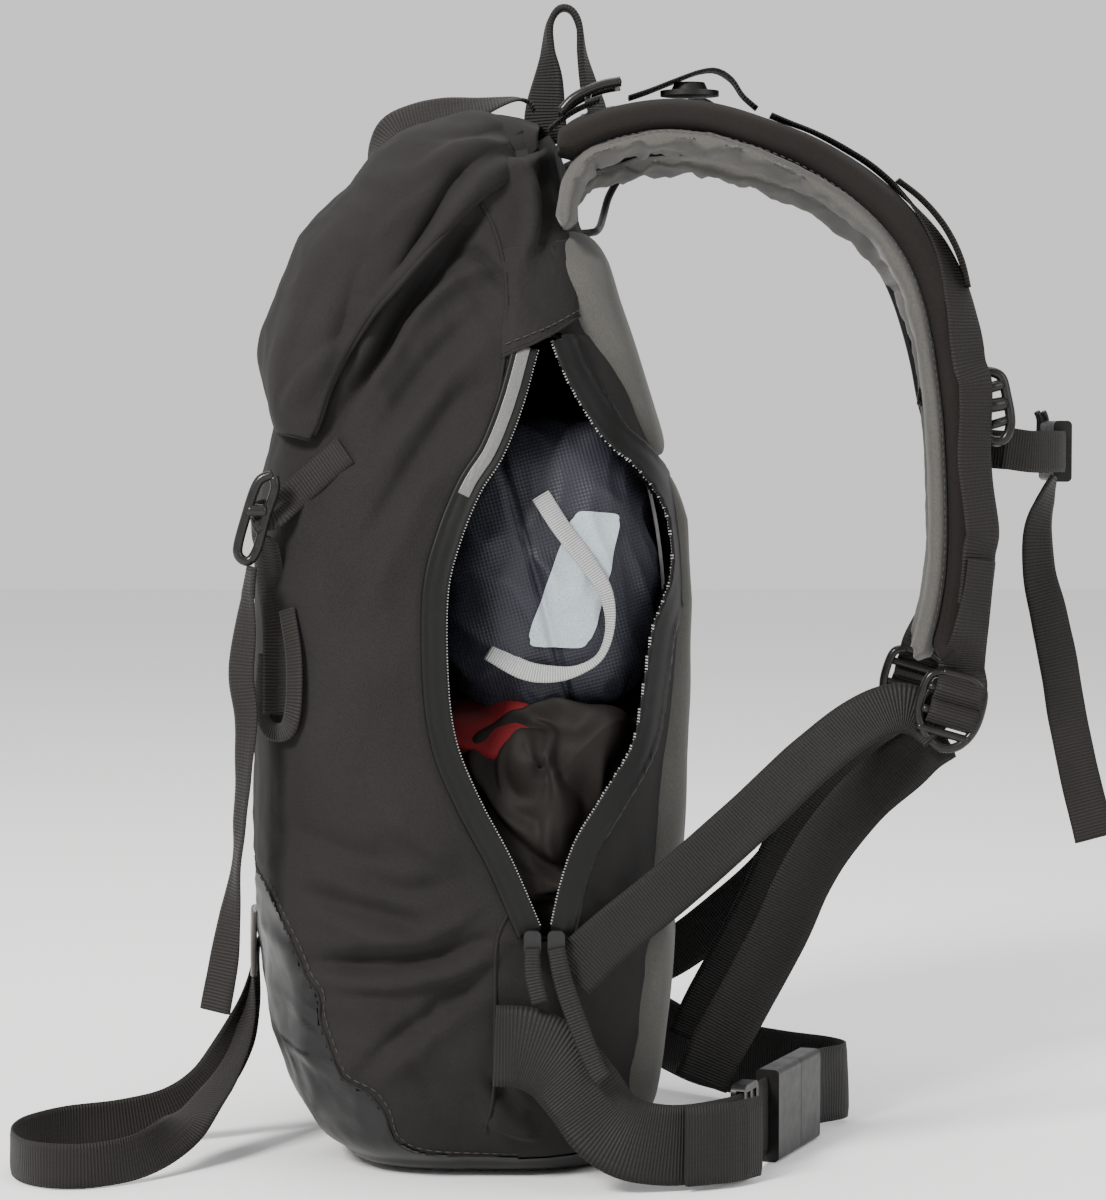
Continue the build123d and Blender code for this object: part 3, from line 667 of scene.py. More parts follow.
# A row of stitches along places in mm on a surface
def thread(name, spots, stitch=3.2, gap=1.3, lift=0.25, radius=0.28, body="pack", closed=False):
    line, length = smoothLine(spots, max(8, int(sum(math.dist(a, b) for a, b in zip(spots, spots[1:])))))
    tangent = unit(np.gradient(line, axis=0))
    verts, faces = [], []
    pitch = stitch + gap
    along = np.linspace(0, length, len(line))
    for k in range(int(length / pitch)):
        a, b = k * pitch, k * pitch + stitch
        ends = [np.array([np.interp(v, along, line[:, j]) for j in range(3)]) for v in (a, (a + b) / 2, b)]
        t = unit(ends[2] - ends[0])
        up = unit(np.cross(t, (0.3, 0.1, 1.0)))
        other = np.cross(t, up)
        start = len(verts)
        for where, size in zip(ends, (0.55, 1.0, 0.55)):
            for q in range(6):
                angle = q * math.pi / 3
                verts.append((where + radius * size * (math.cos(angle) * up + math.sin(angle) * other)) * mm)
        for r in range(2):
            for q in range(6):
                faces.append((start + r * 6 + q, start + r * 6 + (q + 1) % 6,
                              start + r * 6 + 6 + (q + 1) % 6, start + r * 6 + 6 + q))
        faces.append(tuple(start + q for q in range(6))[::-1])
        faces.append(tuple(start + 12 + q for q in range(6)))
    return keepPiece(name, verts, faces, stitchThread, body)


# A raised welt along a route of x, z places on the skin
def seam(name, route, side=-1, radius=0.9, body="pack", material=None):
    line, length = smoothLine(route, max(10, int(sum(math.dist(a, b) for a, b in zip(route, route[1:])) / 4)))
    spots = [skinSpot(x, z, 0.1, side) for x, z in line]
    rod(name, spots, radius, material or shellCloth, body, step=2.0, ring=6)
    return spots


seam("seamUpper", [(-34, 462), (-27, 448), (-22, 426), (-22, 398), (-25, 372), (-30, 352)])
seam("seamLower", [(-18, 136), (-26, 118), (-27, 80), (-28, 44), (-32, 26)])
bootStitch = [skinSpot(x + 2.5, z + 2.5, 0.5) for x, z in bootEdge[1:-1]]
thread("bootStitchRight", bootStitch)
seam("bootWelt", bootEdge[:-1], radius=0.8)
seam("bootWeltLeft", bootEdge[:-1], side=1, radius=0.8)


# Zip: satin tape, coil teeth, sliders and pulls
def zipEdge(name, line, outward, material, nodes, low=-0.5, high=None, lift=0.9):
    high = openingLook["tapeWidth"] if high is None else high
    lanes = np.linspace(low, high, 12)
    tangent = unit(np.gradient(line, axis=0))
    grow = np.stack([-tangent[:, 1], tangent[:, 0]], axis=1) * outward
    verts, weave = [], []
    run = np.concatenate([[0], np.cumsum(np.linalg.norm(np.diff(line, axis=0), axis=1))])
    for i, (x, z) in enumerate(line):
        for lane in lanes:
            px, pz = x + grow[i, 0] * lane, z + grow[i, 1] * lane
            piping = 0.9 * math.exp(-((lane - 10.0) / 0.9) ** 2)
            spot = skinSpot(px, pz, lift + piping - 0.3 * math.exp(-((lane - 2.5) / 2.0) ** 2))
            verts.append(spot * mm)
            weave.append((lane * mm, run[i] * mm))
    faces = gridFaces(len(line), len(lanes))
    if outward < 0:
        faces = [f[::-1] for f in faces]
    tape = keepPiece(name, verts, faces, material, "pack", nodes, weave)
    thick = tape.modifiers.new("thick", "SOLIDIFY")
    thick.thickness = 0.9 * mm
    thick.offset = -1
    return tape


zipEdge("zipTapeFront", frontLine, -1, zipTape, ("zip_chain_front",))
zipEdge("zipTapeRear", rearLine, 1, zipTape, ("zip_chain_rear",))
# Glossy laminate strip on the upper front tape; its light grey colour is a painted sheen
zipEdge("zipLaminate", frontLine[frontLine[:, 1] > 322], -1, zipSheen, (), 3.0, 8.6, 1.4)


def coil(name, line, outward, material):
    run = np.concatenate([[0], np.cumsum(np.linalg.norm(np.diff(line, axis=0), axis=1))])
    tangent = unit(np.gradient(line, axis=0))
    verts, faces = [], []
    pitch = openingLook["toothPitch"]
    for k in range(int(run[-1] / pitch)):
        along = k * pitch
        x, z = (np.interp(along, run, line[:, j]) for j in (0, 1))
        tx, tz = (np.interp(along, run, tangent[:, j]) for j in (0, 1))
        middle = skinSpot(x, z, 1.0)
        t = unit(np.array([tx, 0, tz]))
        inward = np.array([tz, 0, -tx]) * outward
        up = np.cross(t, inward)
        start = len(verts)
        for a in (-1, 1):
            for b in (-1, 1):
                for c in (-1, 1):
                    squeeze = 0.7 if b > 0 else 1.0
                    verts.append((middle + t * a * 0.4 * squeeze + inward * (b * 0.75 + 0.3) + up * c * 0.45) * mm)
        for f in ((0, 1, 3, 2), (4, 6, 7, 5), (0, 4, 5, 1), (2, 3, 7, 6), (0, 2, 6, 4), (1, 5, 7, 3)):
            faces.append(tuple(start + v for v in f))
    return keepPiece(name, verts, faces, material, "pack", smooth=False)


# Teeth coloured light grey as painted glints
coil("teethFront", frontLine, -1, zipCoil)
coil("teethRear", rearLine, 1, zipCoil)


# The flap that covers the top of the side opening
def zipGarage():
    left = smoothLine([(-24, 389), (-24, 402), (-22, 420), (-24, 440)], 30)[0]
    right = smoothLine([(13, 410), (15, 418), (14, 430), (8, 446)], 30)[0]
    rows, columns = 30, 44
    verts = []
    for r in range(rows):
        for c in range(columns):
            u, v = c / (columns - 1), r / (rows - 1)
            x, z = left[r] * (1 - u) + right[r] * u
            z -= 2.5 * math.sin(u * math.pi) * (1 - v)
            rise = 0.3 + 2.6 * (1 - v) ** 0.6 * min(1, 6 * u, 6 * (1 - u))
            rise += 0.8 * noise.noise(Vector((x * 0.07, z * 0.05, 4.0))) * (1 - v)
            verts.append(skinSpot(x, z, rise) * mm)
    flap = keepPiece("zipGarage", verts, gridFaces(rows, columns), shellCloth)
    thick = flap.modifiers.new("thick", "SOLIDIFY")
    thick.thickness = 1.4 * mm
    thick.offset = -1
    edge = [Vector(verts[c]) / mm for c in range(0, columns, 2)]
    rod("garageHem", edge, 0.8, shellCloth, step=1.5, ring=6)
    thread("garageStitch", [Vector(verts[3 * columns + c]) / mm + Vector((0, -0.6, 0)) for c in range(2, columns - 2, 3)])


zipGarage()
print("zip ready")


# Lid: a hood over the top, between its front profile and its slanting side hems
lidProfile = [(-7, 504), (-22, 507.5), (-41, 507), (-56, 504), (-74, 499), (-90, 487), (-99, 475), (-110, 464),
              (-120, 452), (-128, 434), (-136, 414), (-141, 395), (-141, 384), (-138, 368), (-133, 356)]
lidHem = [(-7, 490), (-16, 481), (-27, 470), (-38, 461), (-50, 448), (-62, 434), (-72, 422), (-82, 411), (-90, 400),
          (-98, 387), (-104, 374), (-107, 365), (-109, 359), (-111, 355), (-113, 352)]
lidLook = {"boost": 1.4, "rows": 150, "columns": 240, "squareness": 3.0, "thick": 2.2}
lidFolds = [(side, *fold) for side in (-1, 1) for fold in (
    (4.5, -4.0, (-28, 488), (-46, 474), (-60, 450), (-74, 426)),
    (5.0, 4.5, (-22, 482), (-40, 466), (-56, 444), (-70, 424), (-86, 404)),
    (6.5, -2.6, (-62, 462), (-84, 436), (-98, 404), (-104, 376)),
    (6.0, 2.4, (-52, 470), (-78, 446), (-94, 412)),
    (5.0, 2.2, (-96, 398), (-112, 382), (-124, 364)),
    (5.0, -2.4, (-12, 500), (-36, 496), (-58, 490)),
    (5.0, 2.0, (-18, 492), (-44, 486), (-66, 474)),
    (6.0, -1.8, (-104, 430), (-116, 404), (-124, 380)))]


def makeLid():
    rows, columns = lidLook["rows"], lidLook["columns"]
    top = smoothLine(lidProfile, rows)[0]
    hem = smoothLine(lidHem, rows)[0]
    n = lidLook["squareness"]
    lanes = np.linspace(-1, 1, columns)
    grid = np.zeros((rows, columns, 3))
    for r in range(rows):
        half = float(np.abs(bagSide(min(hem[r, 0], -12), hem[r, 1]))) + 3.4
        half = min(half, 128)
        for c, lane in enumerate(lanes):
            angle = abs(lane) ** 0.9 * math.pi / 2
            over = math.sin(angle) ** (2 / n)
            inward = 1 - math.cos(angle) ** (2 / n)
            grid[r, c] = (top[r, 0] + (hem[r, 0] - top[r, 0]) * inward, math.copysign(half * over, lane),
                          top[r, 1] + (hem[r, 1] - top[r, 1]) * inward)
    normal = makeGridNormals(grid, closed=False)
    centre = np.array([-40.0, 0, 400.0])
    normal *= np.sign(((grid - centre) * normal).sum(-1, keepdims=True))
    flat = grid.reshape(-1, 3)
    side = np.where(flat[:, 1] < 0, -1.0, 1.0)
    onSide = np.clip((np.abs(flat[:, 1]) / 100 - 0.5) / 0.3, 0, 1)
    push = foldHeight(lidFolds, side, flat[:, 0], flat[:, 2]) * onSide * lidLook["boost"]
    push += cloudy(flat, (0.014, 0.016, 0.01), 5.0, 3) * 2.4 + cloudy(flat, (0.05, 0.05, 0.03), 1.5, 2) * 0.6
    push += creased(flat, (0.020, 0.014, 0.010), 3.0, 0.85) * 2.0
    moved = (flat + normal.reshape(-1, 3) * push[:, None]).reshape(rows, columns, 3)
    return moved, normal


lidGrid, lidNormal = makeLid()
lidRows, lidColumns = lidGrid.shape[:2]
lidPiece = keepPiece("lidHood", lidGrid.reshape(-1, 3) * mm,
                     [f[::-1] for f in gridFaces(lidRows, lidColumns)], shellCloth, "lid_cap", ("lid",))
lidThick = lidPiece.modifiers.new("thick", "SOLIDIFY")
lidThick.thickness = lidLook["thick"] * mm
lidThick.offset = -1


# A welt along one column of the lid
def lidLine(name, lane, start, end, radius=0.8, lift=0.0):
    column = int((lane + 1) / 2 * (lidColumns - 1))
    rows = range(int(start * (lidRows - 1)), int(end * (lidRows - 1)), 3)
    spots = [lidGrid[r, column] + lidNormal[r, column] * lift for r in rows]
    return rod(name, spots, radius, shellCloth, "lid_cap", step=2.0, ring=6)


for laneSign in (-1, 1):
    label = "Right" if laneSign < 0 else "Left"
    lidLine("lidSeam" + label, laneSign * 0.62, 0.36, 0.98)
    hemSpots = [lidGrid[r, 0 if laneSign < 0 else -1] for r in range(0, lidRows, 3)]
    rod("lidHem" + label, hemSpots, 1.5, shellCloth, "lid_cap", step=2.0, ring=8)
frontHem = [lidGrid[-1, c] for c in range(0, lidColumns, 4)]
rod("lidHemFront", frontHem, 1.4, shellCloth, "lid_cap", step=2.5, ring=8)
print("lid ready")


# Shoulder straps: foam in a dark cover, and a gathered stretch lining inside
padLine = [(2, 489), (10, 494), (28, 501), (51, 505), (75, 503), (100, 496), (126, 485), (149, 471), (169, 452),
           (183, 429), (191, 399), (196, 362), (198, 325), (198, 296), (195, 270), (189, 246)]


padLook = {"roll": 9.0, "squareness": 2.9, "farShift": 12.5}


# A padded band from low to high off the strap's line, in mm
def padBand(name, side, low, high, width, material, nodes, gather=0.0, drop=0.0, seed=1, root=(), foot=()):
    line, length = smoothLine([*root, *padLine[len(root) // 2:], *foot], 150)
    if drop:
        fade = np.clip(1 - np.linspace(0, 1.6, len(line)), 0, 1)
        line = line - np.stack([fade * 0, fade * drop], axis=1)
        line = line + np.stack([(1 - fade) * padLook["farShift"], fade * 0], axis=1)
    tangent = unit(np.gradient(line, axis=0))
    out = np.stack([-tangent[:, 1], tangent[:, 0]], axis=1)
    ring = 40
    verts = []
    middle, half = (low + high) / 2, (high - low) / 2
    count = len(line)
    for i in range(count):
        share = i / (count - 1)
        wide = width * (1 - 0.22 * max(0, (share - 0.72) / 0.28) ** 1.5)
        tip = min(1.0, (share / 0.015 + 0.2), ((1 - share) / 0.02 + 0.25))
        for k in range(ring):
            angle = 2 * math.pi * k / ring
            c, s = math.cos(angle), math.sin(angle)
            n = padLook["squareness"]
            reach = (abs(c) ** n + abs(s) ** n) ** (-1 / n)
            across = c * reach * wide / 2
            up = s * reach * half * tip
            if gather:
                curve = math.exp(-((share - 0.22) / 0.2) ** 2) + 0.35 * math.exp(-((share - 0.55) / 0.08) ** 2)
                along = share * length
                pleat = noise.noise(Vector((along / 9.0, across * 0.035, seed * 3.1)))
                pleat += 0.5 * noise.noise(Vector((along / 4.5, across * 0.05, seed * 5.7)))
                inner = 1.0 if s < 0 else 0.25
                up += gather * pleat * (0.15 + curve) * inner * (1.0 if s < 0 else -1.0)
            up += 0.5 * noise.noise(Vector((share * 14, across * 0.05, seed)))
            roll = math.radians(padLook["roll"]) * min(1.0, max(0.0, (share - 0.3) / 0.25)) * side
            lift = (middle + up) * math.cos(roll) - across * math.sin(roll)
            sideways = (middle + up) * math.sin(roll) + across * math.cos(roll)
            px = line[i, 0] + out[i, 0] * lift
            pz = line[i, 1] + out[i, 1] * lift
            verts.append((px * mm, (side * 75 + sideways) * mm, pz * mm))
    faces = gridFaces(count, ring, closedAcross=True)
    faces = [f[::-1] for f in faces]
    faces.append(tuple(range(ring)))
    faces.append(tuple(range((count - 1) * ring, count * ring))[::-1])
    piece = keepPiece(name, verts, faces, material, "pack", nodes)
    return piece


for side, label, drop, inner, deepest in ((-1, "right", 0.0, -10.0, -18.0), (1, "left", 7.0, -5.5, -12.0)):
    name = label.capitalize()
    pad = padBand("strapCover" + name, side, inner, 7.0, 58, strapCloth, ("shoulder_pad_" + label,),
                  drop=drop, seed=side + 2)
    lining = padBand("strapLining" + name, side, deepest, inner + 2.5, 57, greyKnit, ("strap_lining_" + label,),
                     gather=3.0, drop=drop, seed=side + 4, root=[(-7, 452), (-5, 466), (-1, 480)], foot=[(184, 238)])
print("shoulder straps ready")


# A place off the strap's line: share along it, mm off it, mm across
def padAt(share, off, across=0.0, side=-1):
    line, length = smoothLine([(x, z) for x, z in padLine], 300)
    i = int(share * 299)
    tangent = unit(np.gradient(line, axis=0))[i]
    late = min(1.0, share * 1.6) * padLook["farShift"] * (side > 0)
    return (line[i, 0] - tangent[1] * off + late, side * 75 + across, line[i, 1] + tangent[0] * off)


def padFace(share):
    line, length = smoothLine([(x, z) for x, z in padLine], 300)
    tangent = unit(np.gradient(line, axis=0))[int(share * 299)]
    return (-tangent[1], 0, tangent[0])


# The same place with the strap's roll about its own line
def padRolled(share, off, across, side):
    roll = math.radians(padLook["roll"]) * min(1.0, max(0.0, (share - 0.3) / 0.25)) * side
    lift = off * math.cos(roll) - across * math.sin(roll)
    return padAt(share, lift, off * math.sin(roll) + across * math.cos(roll), side)


def railRoute(side):
    route = []
    for s in np.linspace(0.26, 0.93, 34):
        slip = min(1.0, max(0.0, (s - 0.42) / 0.2))
        wave = 1.6 * math.sin(s * 31) * (s > 0.66) * (s < 0.86)
        facing = padFace(s)
        face = (facing[0] * (1 - 0.45 * slip), side * 0.85 * slip, facing[2] * (1 - 0.45 * slip))
        route.append((*padRolled(s, 9.0 - 2.2 * slip + wave, side * (8 + 17 * slip), side), face))
    return route


railLook = {"width": 20, "thick": 1.5, "ripple": 0.8}
railRight, railLeft = railRoute(-1), railRoute(1)
strap("railWebbingRight", railRight, railLook["width"], railLook["thick"], webThin, nodes=("strap_rails",),
      ripple=railLook["ripple"], seed=1)
strap("railWebbingLeft", railLeft, railLook["width"], railLook["thick"], webThin, ripple=railLook["ripple"], seed=2)
for side, label in ((-1, "Right"), (1, "Left")):
    thread("strapStitch" + label, [padRolled(s, -9.2 if side < 0 else -4.9, side * 28.6, side) for s in np.linspace(0.06, 0.97, 60)],
           stitch=2.4, gap=1.4, radius=0.26)
foldLoop = [(*padAt(s, 10.5 + 2.2 * math.sin((s - 0.42) / 0.14 * math.pi), -14, -1), padFace(s))
            for s in np.linspace(0.42, 0.56, 10)]
strap("railFold", foldLoop, 19, 1.4, webThin, seed=4)


# Load lifters, their adjusters, and the flat buckle on the strap
for side, label in ((-1, "Right"), (1, "Left")):
    path = [(36, side * 75, 513), (46, side * 75, 516.5), (58, side * 75, 521), (70, side * 75, 525.5),
            (78, side * 75, 526), (85, side * 75, 521.5), (90, side * 75, 514), (97, side * 75, 508)]
    strap("loadLifter" + label, [(*p, (-0.3, 0, 1)) for p in path], 19, 1.4, webThin,
          nodes=("load_lifters",) if side < 0 else (), ripple=0.6, seed=side)
    tail = [(-2, side * 75, 498), (4, side * 75, 503), (12, side * 75, 508), (22, side * 75, 512)]
    strap("lifterRoot" + label, [(*p, (-0.5, 0, 1)) for p in tail], 20, 1.6, webDark)


def useMaterial(node, material):
    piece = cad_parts[node]
    piece = bpy.data.objects[piece] if isinstance(piece, str) else piece
    for slotPlace in range(max(1, len(piece.material_slots))):
        if not piece.material_slots:
            piece.data.materials.append(material)
        else:
            piece.material_slots[slotPlace].material = material


# Grab handle
handleLook = {"width": 24, "thick": 3.4}
handleRoute = [(-3, 0, 497, (-0.6, -0.9, 0), 24), (-4, 0, 512, (-0.6, -1, 0), 23),
               (-2.5, 0, 530, (-0.7, -0.8, 0), 18),
               (-2.5, 0, 546, (-1, -0.4, 0), 12), (-1.5, 0, 557, (-1, -0.1, 0.2), 9), (3, 0, 564, (-0.3, 0, 1), 9),
               (9, 0, 563.5, (0.4, 0, 1), 9), (13, 0, 556, (1, 0, 0.2), 10), (14.5, 0, 542, (1, -0.2, 0.1), 14),
               (18, 0, 526, (1, -0.5, 0.3), 19), (22, 0, 512, (1, -0.4, 0.4), 23), (16, 0, 503, (1, 0, 0.8), 24),
               (9, 0, 497, (0.5, 0, 1), 24)]
strap("grabLoop", handleRoute, handleLook["width"], handleLook["thick"], webDark, nodes=("grab_handle",), step=1.5)

# Lid strap, with a folded tab at its front end
lidStrapLook = {"width": 17, "thick": 1.5}
lidStrapRoute = [(-90, -30, 484), (-86, -30, 495), (-78, -30, 504), (-66, -31, 509), (-52, -31, 511.5),
                 (-38, -31, 513), (-26, -31, 515.5), (-18, -31, 516.5), (-12, -31, 515), (-9, -31, 511)]
lidFaces = [(-1, -0.2, 0.3), (-0.8, -0.5, 0.5), (-0.4, -1, 0.7), (-0.1, -1, 0.8), (0, -1, 0.9), (0, -0.8, 1),
            (0, -0.4, 1), (0.1, -0.2, 1), (0.5, 0, 1), (1, 0, 0.6)]
strap("lidStrap", [(*p, f) for p, f in zip(lidStrapRoute, lidFaces)], lidStrapLook["width"],
      lidStrapLook["thick"], webThin, "lid_cap", nodes=("lid_strap",), seed=6, ripple=0.8)
print("top webbing ready")


# Moulded adjusters made of bars
# Two curved side rails and cross bars between them; the spine is x, z places
def ladderLock(name, spine, centreY, width, radius, material, body, node, bars=(0.04, 0.5, 0.96)):
    line, _ = smoothLine(spine, 40)
    rails = []
    for side in (-1, 1):
        rails.append(rod(name + ("Near" if side < 0 else "Far"),
                         [(x, centreY + side * width / 2, z) for x, z in line[::3]], radius, material, body,
                         (node,) if side < 0 else (), step=1.2, ring=12))
    for k, share in enumerate(bars):
        x, z = line[int(share * 39)]
        rails.append(rod(name + "Bar" + str(k), [(x, centreY - width / 2, z), (x, centreY, z), (x, centreY + width / 2, z)],
                         radius * (1.15 if k == 1 else 0.95), material, body, step=2, ring=12))
    return joinPieces(*rails)


for side, label in ((-1, "Right"), (1, "Left")):
    ladderLock("lifterLock" + label, [(4, 506), (9, 511.5), (16, 515.5), (24, 518.5), (32, 520)], side * 75, 24, 2.3,
               buckleSatin, "lifter_adjuster_" + label.lower(), "load_lifter_buckle_" + label.lower())

# Lower adjusters: a rounded frame seen face on, with webbing wrapped over its two bars
lockLook = {"centre": (188.5, 222.0), "tilt": -16.0, "out": 15.0, "bar": 2.2}


def lockSpot(along, up, out, side):
    turn = math.radians(lockLook["tilt"])
    x = lockLook["centre"][0] + along * math.cos(turn) - up * math.sin(turn)
    z = lockLook["centre"][1] + along * math.sin(turn) + up * math.cos(turn)
    return x, side * (75 + lockLook["out"] + out), z


def lockFace(up, out, side):
    turn = math.radians(lockLook["tilt"])
    return (-up * math.sin(turn), side * out, up * math.cos(turn))


for side, label in ((-1, "Right"), (1, "Left")):
    body = "lower_adjuster_" + label.lower()
    outline = [(-8, 17), (-13.5, 13), (-14.5, 0), (-12, -9), (-6, -15.5), (1, -18), (8, -15.5), (13, -8), (14.5, 2),
               (13, 13), (7, 17), (0, 17.4), (-8, 17)]
    ringPiece = rod("lowerLock" + label, [lockSpot(u, w, 0.6 * math.sin(u), side) for u, w in outline],
                    lockLook["bar"], buckleSatin, body, ("lower_buckle_" + label.lower(),), step=1.2,
                    ring=12)
    bars = [rod("lowerBar" + label + str(k), [lockSpot(-13, w, 1.0, side), lockSpot(0, w, 1.0, side),
                                              lockSpot(13, w, 1.0, side)], 2.0, buckleSatin, body,
                step=2, ring=12) for k, w in enumerate((9, -2, -11))]
    joinPieces(ringPiece, *bars)
    reach = side * 103
    late = 9.0 * (side > 0)
    wrap = [(202 + late, reach, 294, (0.6, side * 0.75, 0), 18), (200 + late, reach, 278, (0.5, side * 0.8, 0), 17),
            (197 + late * 0.6, side * 101, 260, (0.3, side, 0), 18), (*lockSpot(0, 22, -2, side), lockFace(0.1, 1, side), 22)]
    for up, out, faceUp, faceOut in ((15.5, 1.5, 0.7, 0.8), (10, 5.5, 0, 1), (5.5, 3.5, -0.8, 0.6), (3.8, 1.5, 0, 1),
                                     (2.2, 3.5, 0.8, 0.6), (-1.5, 5.5, 0, 1), (-6, 3.0, -0.8, 0.6), (-7.5, -1.5, -1, 0.1)):
        wrap.append((*lockSpot(2, up, out, side), lockFace(faceUp, faceOut, side), 24))
    strap("lockWebbing" + label, wrap, 24, 1.5, webThin, step=0.8)

# Sternum slider: a small frame on the rail with a bar and a tab
for side, label in ((-1, "Right"), (1, "Left")):
    out = side * 88
    outline = [(199, 379), (204, 383), (212, 381), (215, 372), (217, 359), (214, 351), (207, 351), (203, 358),
               (200, 370), (199, 379)]
    ringPiece = rod("sliderFrame" + label, [(x, out, z) for x, z in outline], 2.4, buckleSatin, "sternum",
                    ("sternum_slider_" + label.lower(),), step=1.2, ring=12)
    parts = [rod("sliderBar" + label + str(k), [(a, out, b), ((a + c) / 2, out + side * 2.5, (b + d) / 2), (c, out, d)],
                 r, buckleSatin, "sternum", step=1.5, ring=12)
             for k, (a, b, c, d, r) in enumerate(((201, 374, 213, 377, 2.6), (202, 366, 214, 368, 3.4),
                                                  (205, 357, 215, 360, 2.2), (192, 369, 200, 373, 1.6),
                                                  (192, 369, 193, 377, 1.3)))]
    joinPieces(ringPiece, *parts)
prongs = [rod("plugProng" + str(k), [(x, y, 355), (x, y, 361), (x - 1.5, y - 1, 364.5)], 1.7, buckleSatin, "sternum_plug",
              step=1.5, ring=10) for k, (x, y) in enumerate(((248, 14), (246, 22)))]
joinPieces(*prongs)

hookRing = [(-130, -125, 335), (-137, -125, 331), (-143, -125, 314), (-146.5, -125, 299), (-142, -125, 294.5),
            (-137.5, -125, 300), (-133, -125, 316), (-129, -125, 328), (-129.5, -125, 334)]
hookPiece = rod("hookRing", hookRing, 2.3, buckleSatin, "hook", ("hook_buckle",), step=1.5, ring=12)
hookTongue = rod("hookTongue", [(-142, -125, 318), (-138, -125, 318), (-133, -125, 318)], 3.2, buckleSatin, "hook",
                 step=1.5, ring=12)
joinPieces(hookPiece, hookTongue)

# Lower adjusting straps
adjustLook = {"width": 25, "nearTail": 27, "thick": 1.6, "ripple": 1.2}
routeA = [(8, -136.5, 103, (0, -1, 0.1), 26), (26, -135, 120, (0, -1, 0.15)), (56, -125, 143, (0.1, -1, 0.3)),
          (92, -112, 173, (0.1, -1, 0.5)), (122, -102, 200, (0.1, -1, 0.7)), (146, -92, 217, (0.1, -1, 0.6)),
          (164, -86, 223, (0.2, -1, 0.4)), (176, -86, 220, (0.2, -1, 0.2), 24),
          (185, -90, 212, (0.3, -1, 0.2), 23)]
strap("adjustRight", routeA, adjustLook["width"], adjustLook["thick"], webDark,
      nodes=("adjust_strap_right",), ripple=1.0, seed=1)
routeB = [(186, -87, 209, (0.2, -1, 0.2), 22), (178, -76, 203, (0.2, -1, 0.2), 24),
          (168, -69, 194, (0.2, -1, 0.3)), (150, -66, 178, (0.2, -1, 0.4)),
          (133, -66, 157, (0.2, -1, 0.2)), (121, -66, 137, (0.1, -1, 0.1)), (110, -65, 112, (0, -1, 0)),
          (93, -64, 80, (0, -1, 0)), (80, -62, 56, (0.1, -1, 0)), (72, -60, 38, (0.1, -1, 0))]
strap("adjustTailRight", routeB, adjustLook["nearTail"], adjustLook["thick"], webDark,
      nodes=("adjust_tail_right",), ripple=adjustLook["ripple"], seed=2, hem=True)
routeC = [(186, 90, 211, (0, -1, 0.2), 23), (176, 87, 206, (0, -1, 0.2)), (160, 87, 190, (0, -1, 0.2)),
          (140, 92, 158, (0, -1, 0.2)),
          (118, 98, 124, (0.1, -1, 0.3)), (92, 108, 98, (0.1, -1, 0.3)), (62, 118, 74, (0.1, -1, 0.2)),
          (30, 130, 60, (0, -1, 0)), (8, 138.5, 58, (0, -1, 0))]
strap("adjustLeft", routeC, adjustLook["width"], adjustLook["thick"], webDark,
      nodes=("adjust_strap_left",), ripple=1.0, seed=3)
routeD = [(x, -y, z, (f[0], -f[1], f[2])) for x, y, z, f, *w in routeB]
strap("adjustTailLeft", routeD, adjustLook["width"], adjustLook["thick"], webDark,
      nodes=("adjust_tail_left",), ripple=adjustLook["ripple"], seed=4, hem=True)


# Hip belt
beltLook = {"width": 38, "thick": 1.9, "tailThick": 1.8, "buckle": (117, -33), "lean": 22.4, "middle": 22.9}
buckleX, buckleY = beltLook["buckle"]
lean = math.radians(beltLook["lean"])
belt = lambda d: (buckleX + math.sin(lean) * d, buckleY + math.cos(lean) * d)
beltMid = beltLook["middle"]
routeE = [(-27, -137, 70, (0, -1, 0)), (-12, -139, 69, (0, -1, 0.05)), (2, -140, 62, (0, -1, 0.1)),
          (14, -139, 48, (0.1, -1, 0.2)), (24, -138, 34, (0.15, -1, 0.25)), (36, -137, 26, (0.1, -1, 0.1)),
          (52, -133, 22.5, (0.2, -1, 0)), (68, -126, 22, (0.5, -1, 0)), (84, -113, 22.5, (0.8, -1, 0)),
          (94, -96, beltMid, (1, -0.6, 0)), (*belt(-44), beltMid, (1, -0.41, 0)), (*belt(-35), beltMid, (1, -0.41, 0))]
strap("hipBeltRight", routeE, beltLook["width"], beltLook["thick"], webDark,
      nodes=("hip_belt_right",), step=2.0, ripple=0.7, seed=5)
turn = (math.cos(lean), -math.sin(lean), 0)
routeF = [(*belt(12), beltMid, turn), (*belt(24), beltMid, turn), (*belt(38), beltMid, turn),
          (*belt(50), beltMid, turn), (149, 30, 22, (1, 0.3, 0)), (151, 44, 21.5, (0.8, 0.8, 0)),
          (141, 58, 21.5, (0.5, 1, 0)), (112, 80, 22, (0.6, 1, 0)), (80, 108, 24, (0.7, 1, 0)),
          (60, 130, 30, (0.3, 1, 0.1)), (36, 139, 42, (0, 1, 0.1)), (8, 140.5, 58, (0, 1, 0.1)),
          (-27, 138, 68, (0, 1, 0))]
strap("hipBeltLeft", routeF, beltLook["width"], beltLook["thick"], webDark,
      nodes=("hip_belt_left",), step=2.0, ripple=0.8, seed=6)
routeG = [(62, -133, 22, (0.3, -1, 0)), (74, -128.5, 22, (0.5, -1, 0)), (86, -122, 22, (0.8, -1, 0)),
          (98, -108, 22, (1, -0.6, 0))]
strap("beltTail", routeG, beltLook["width"], beltLook["tailThick"], webDark, nodes=("belt_tail",), hem=True)
print("belt and lower straps ready")


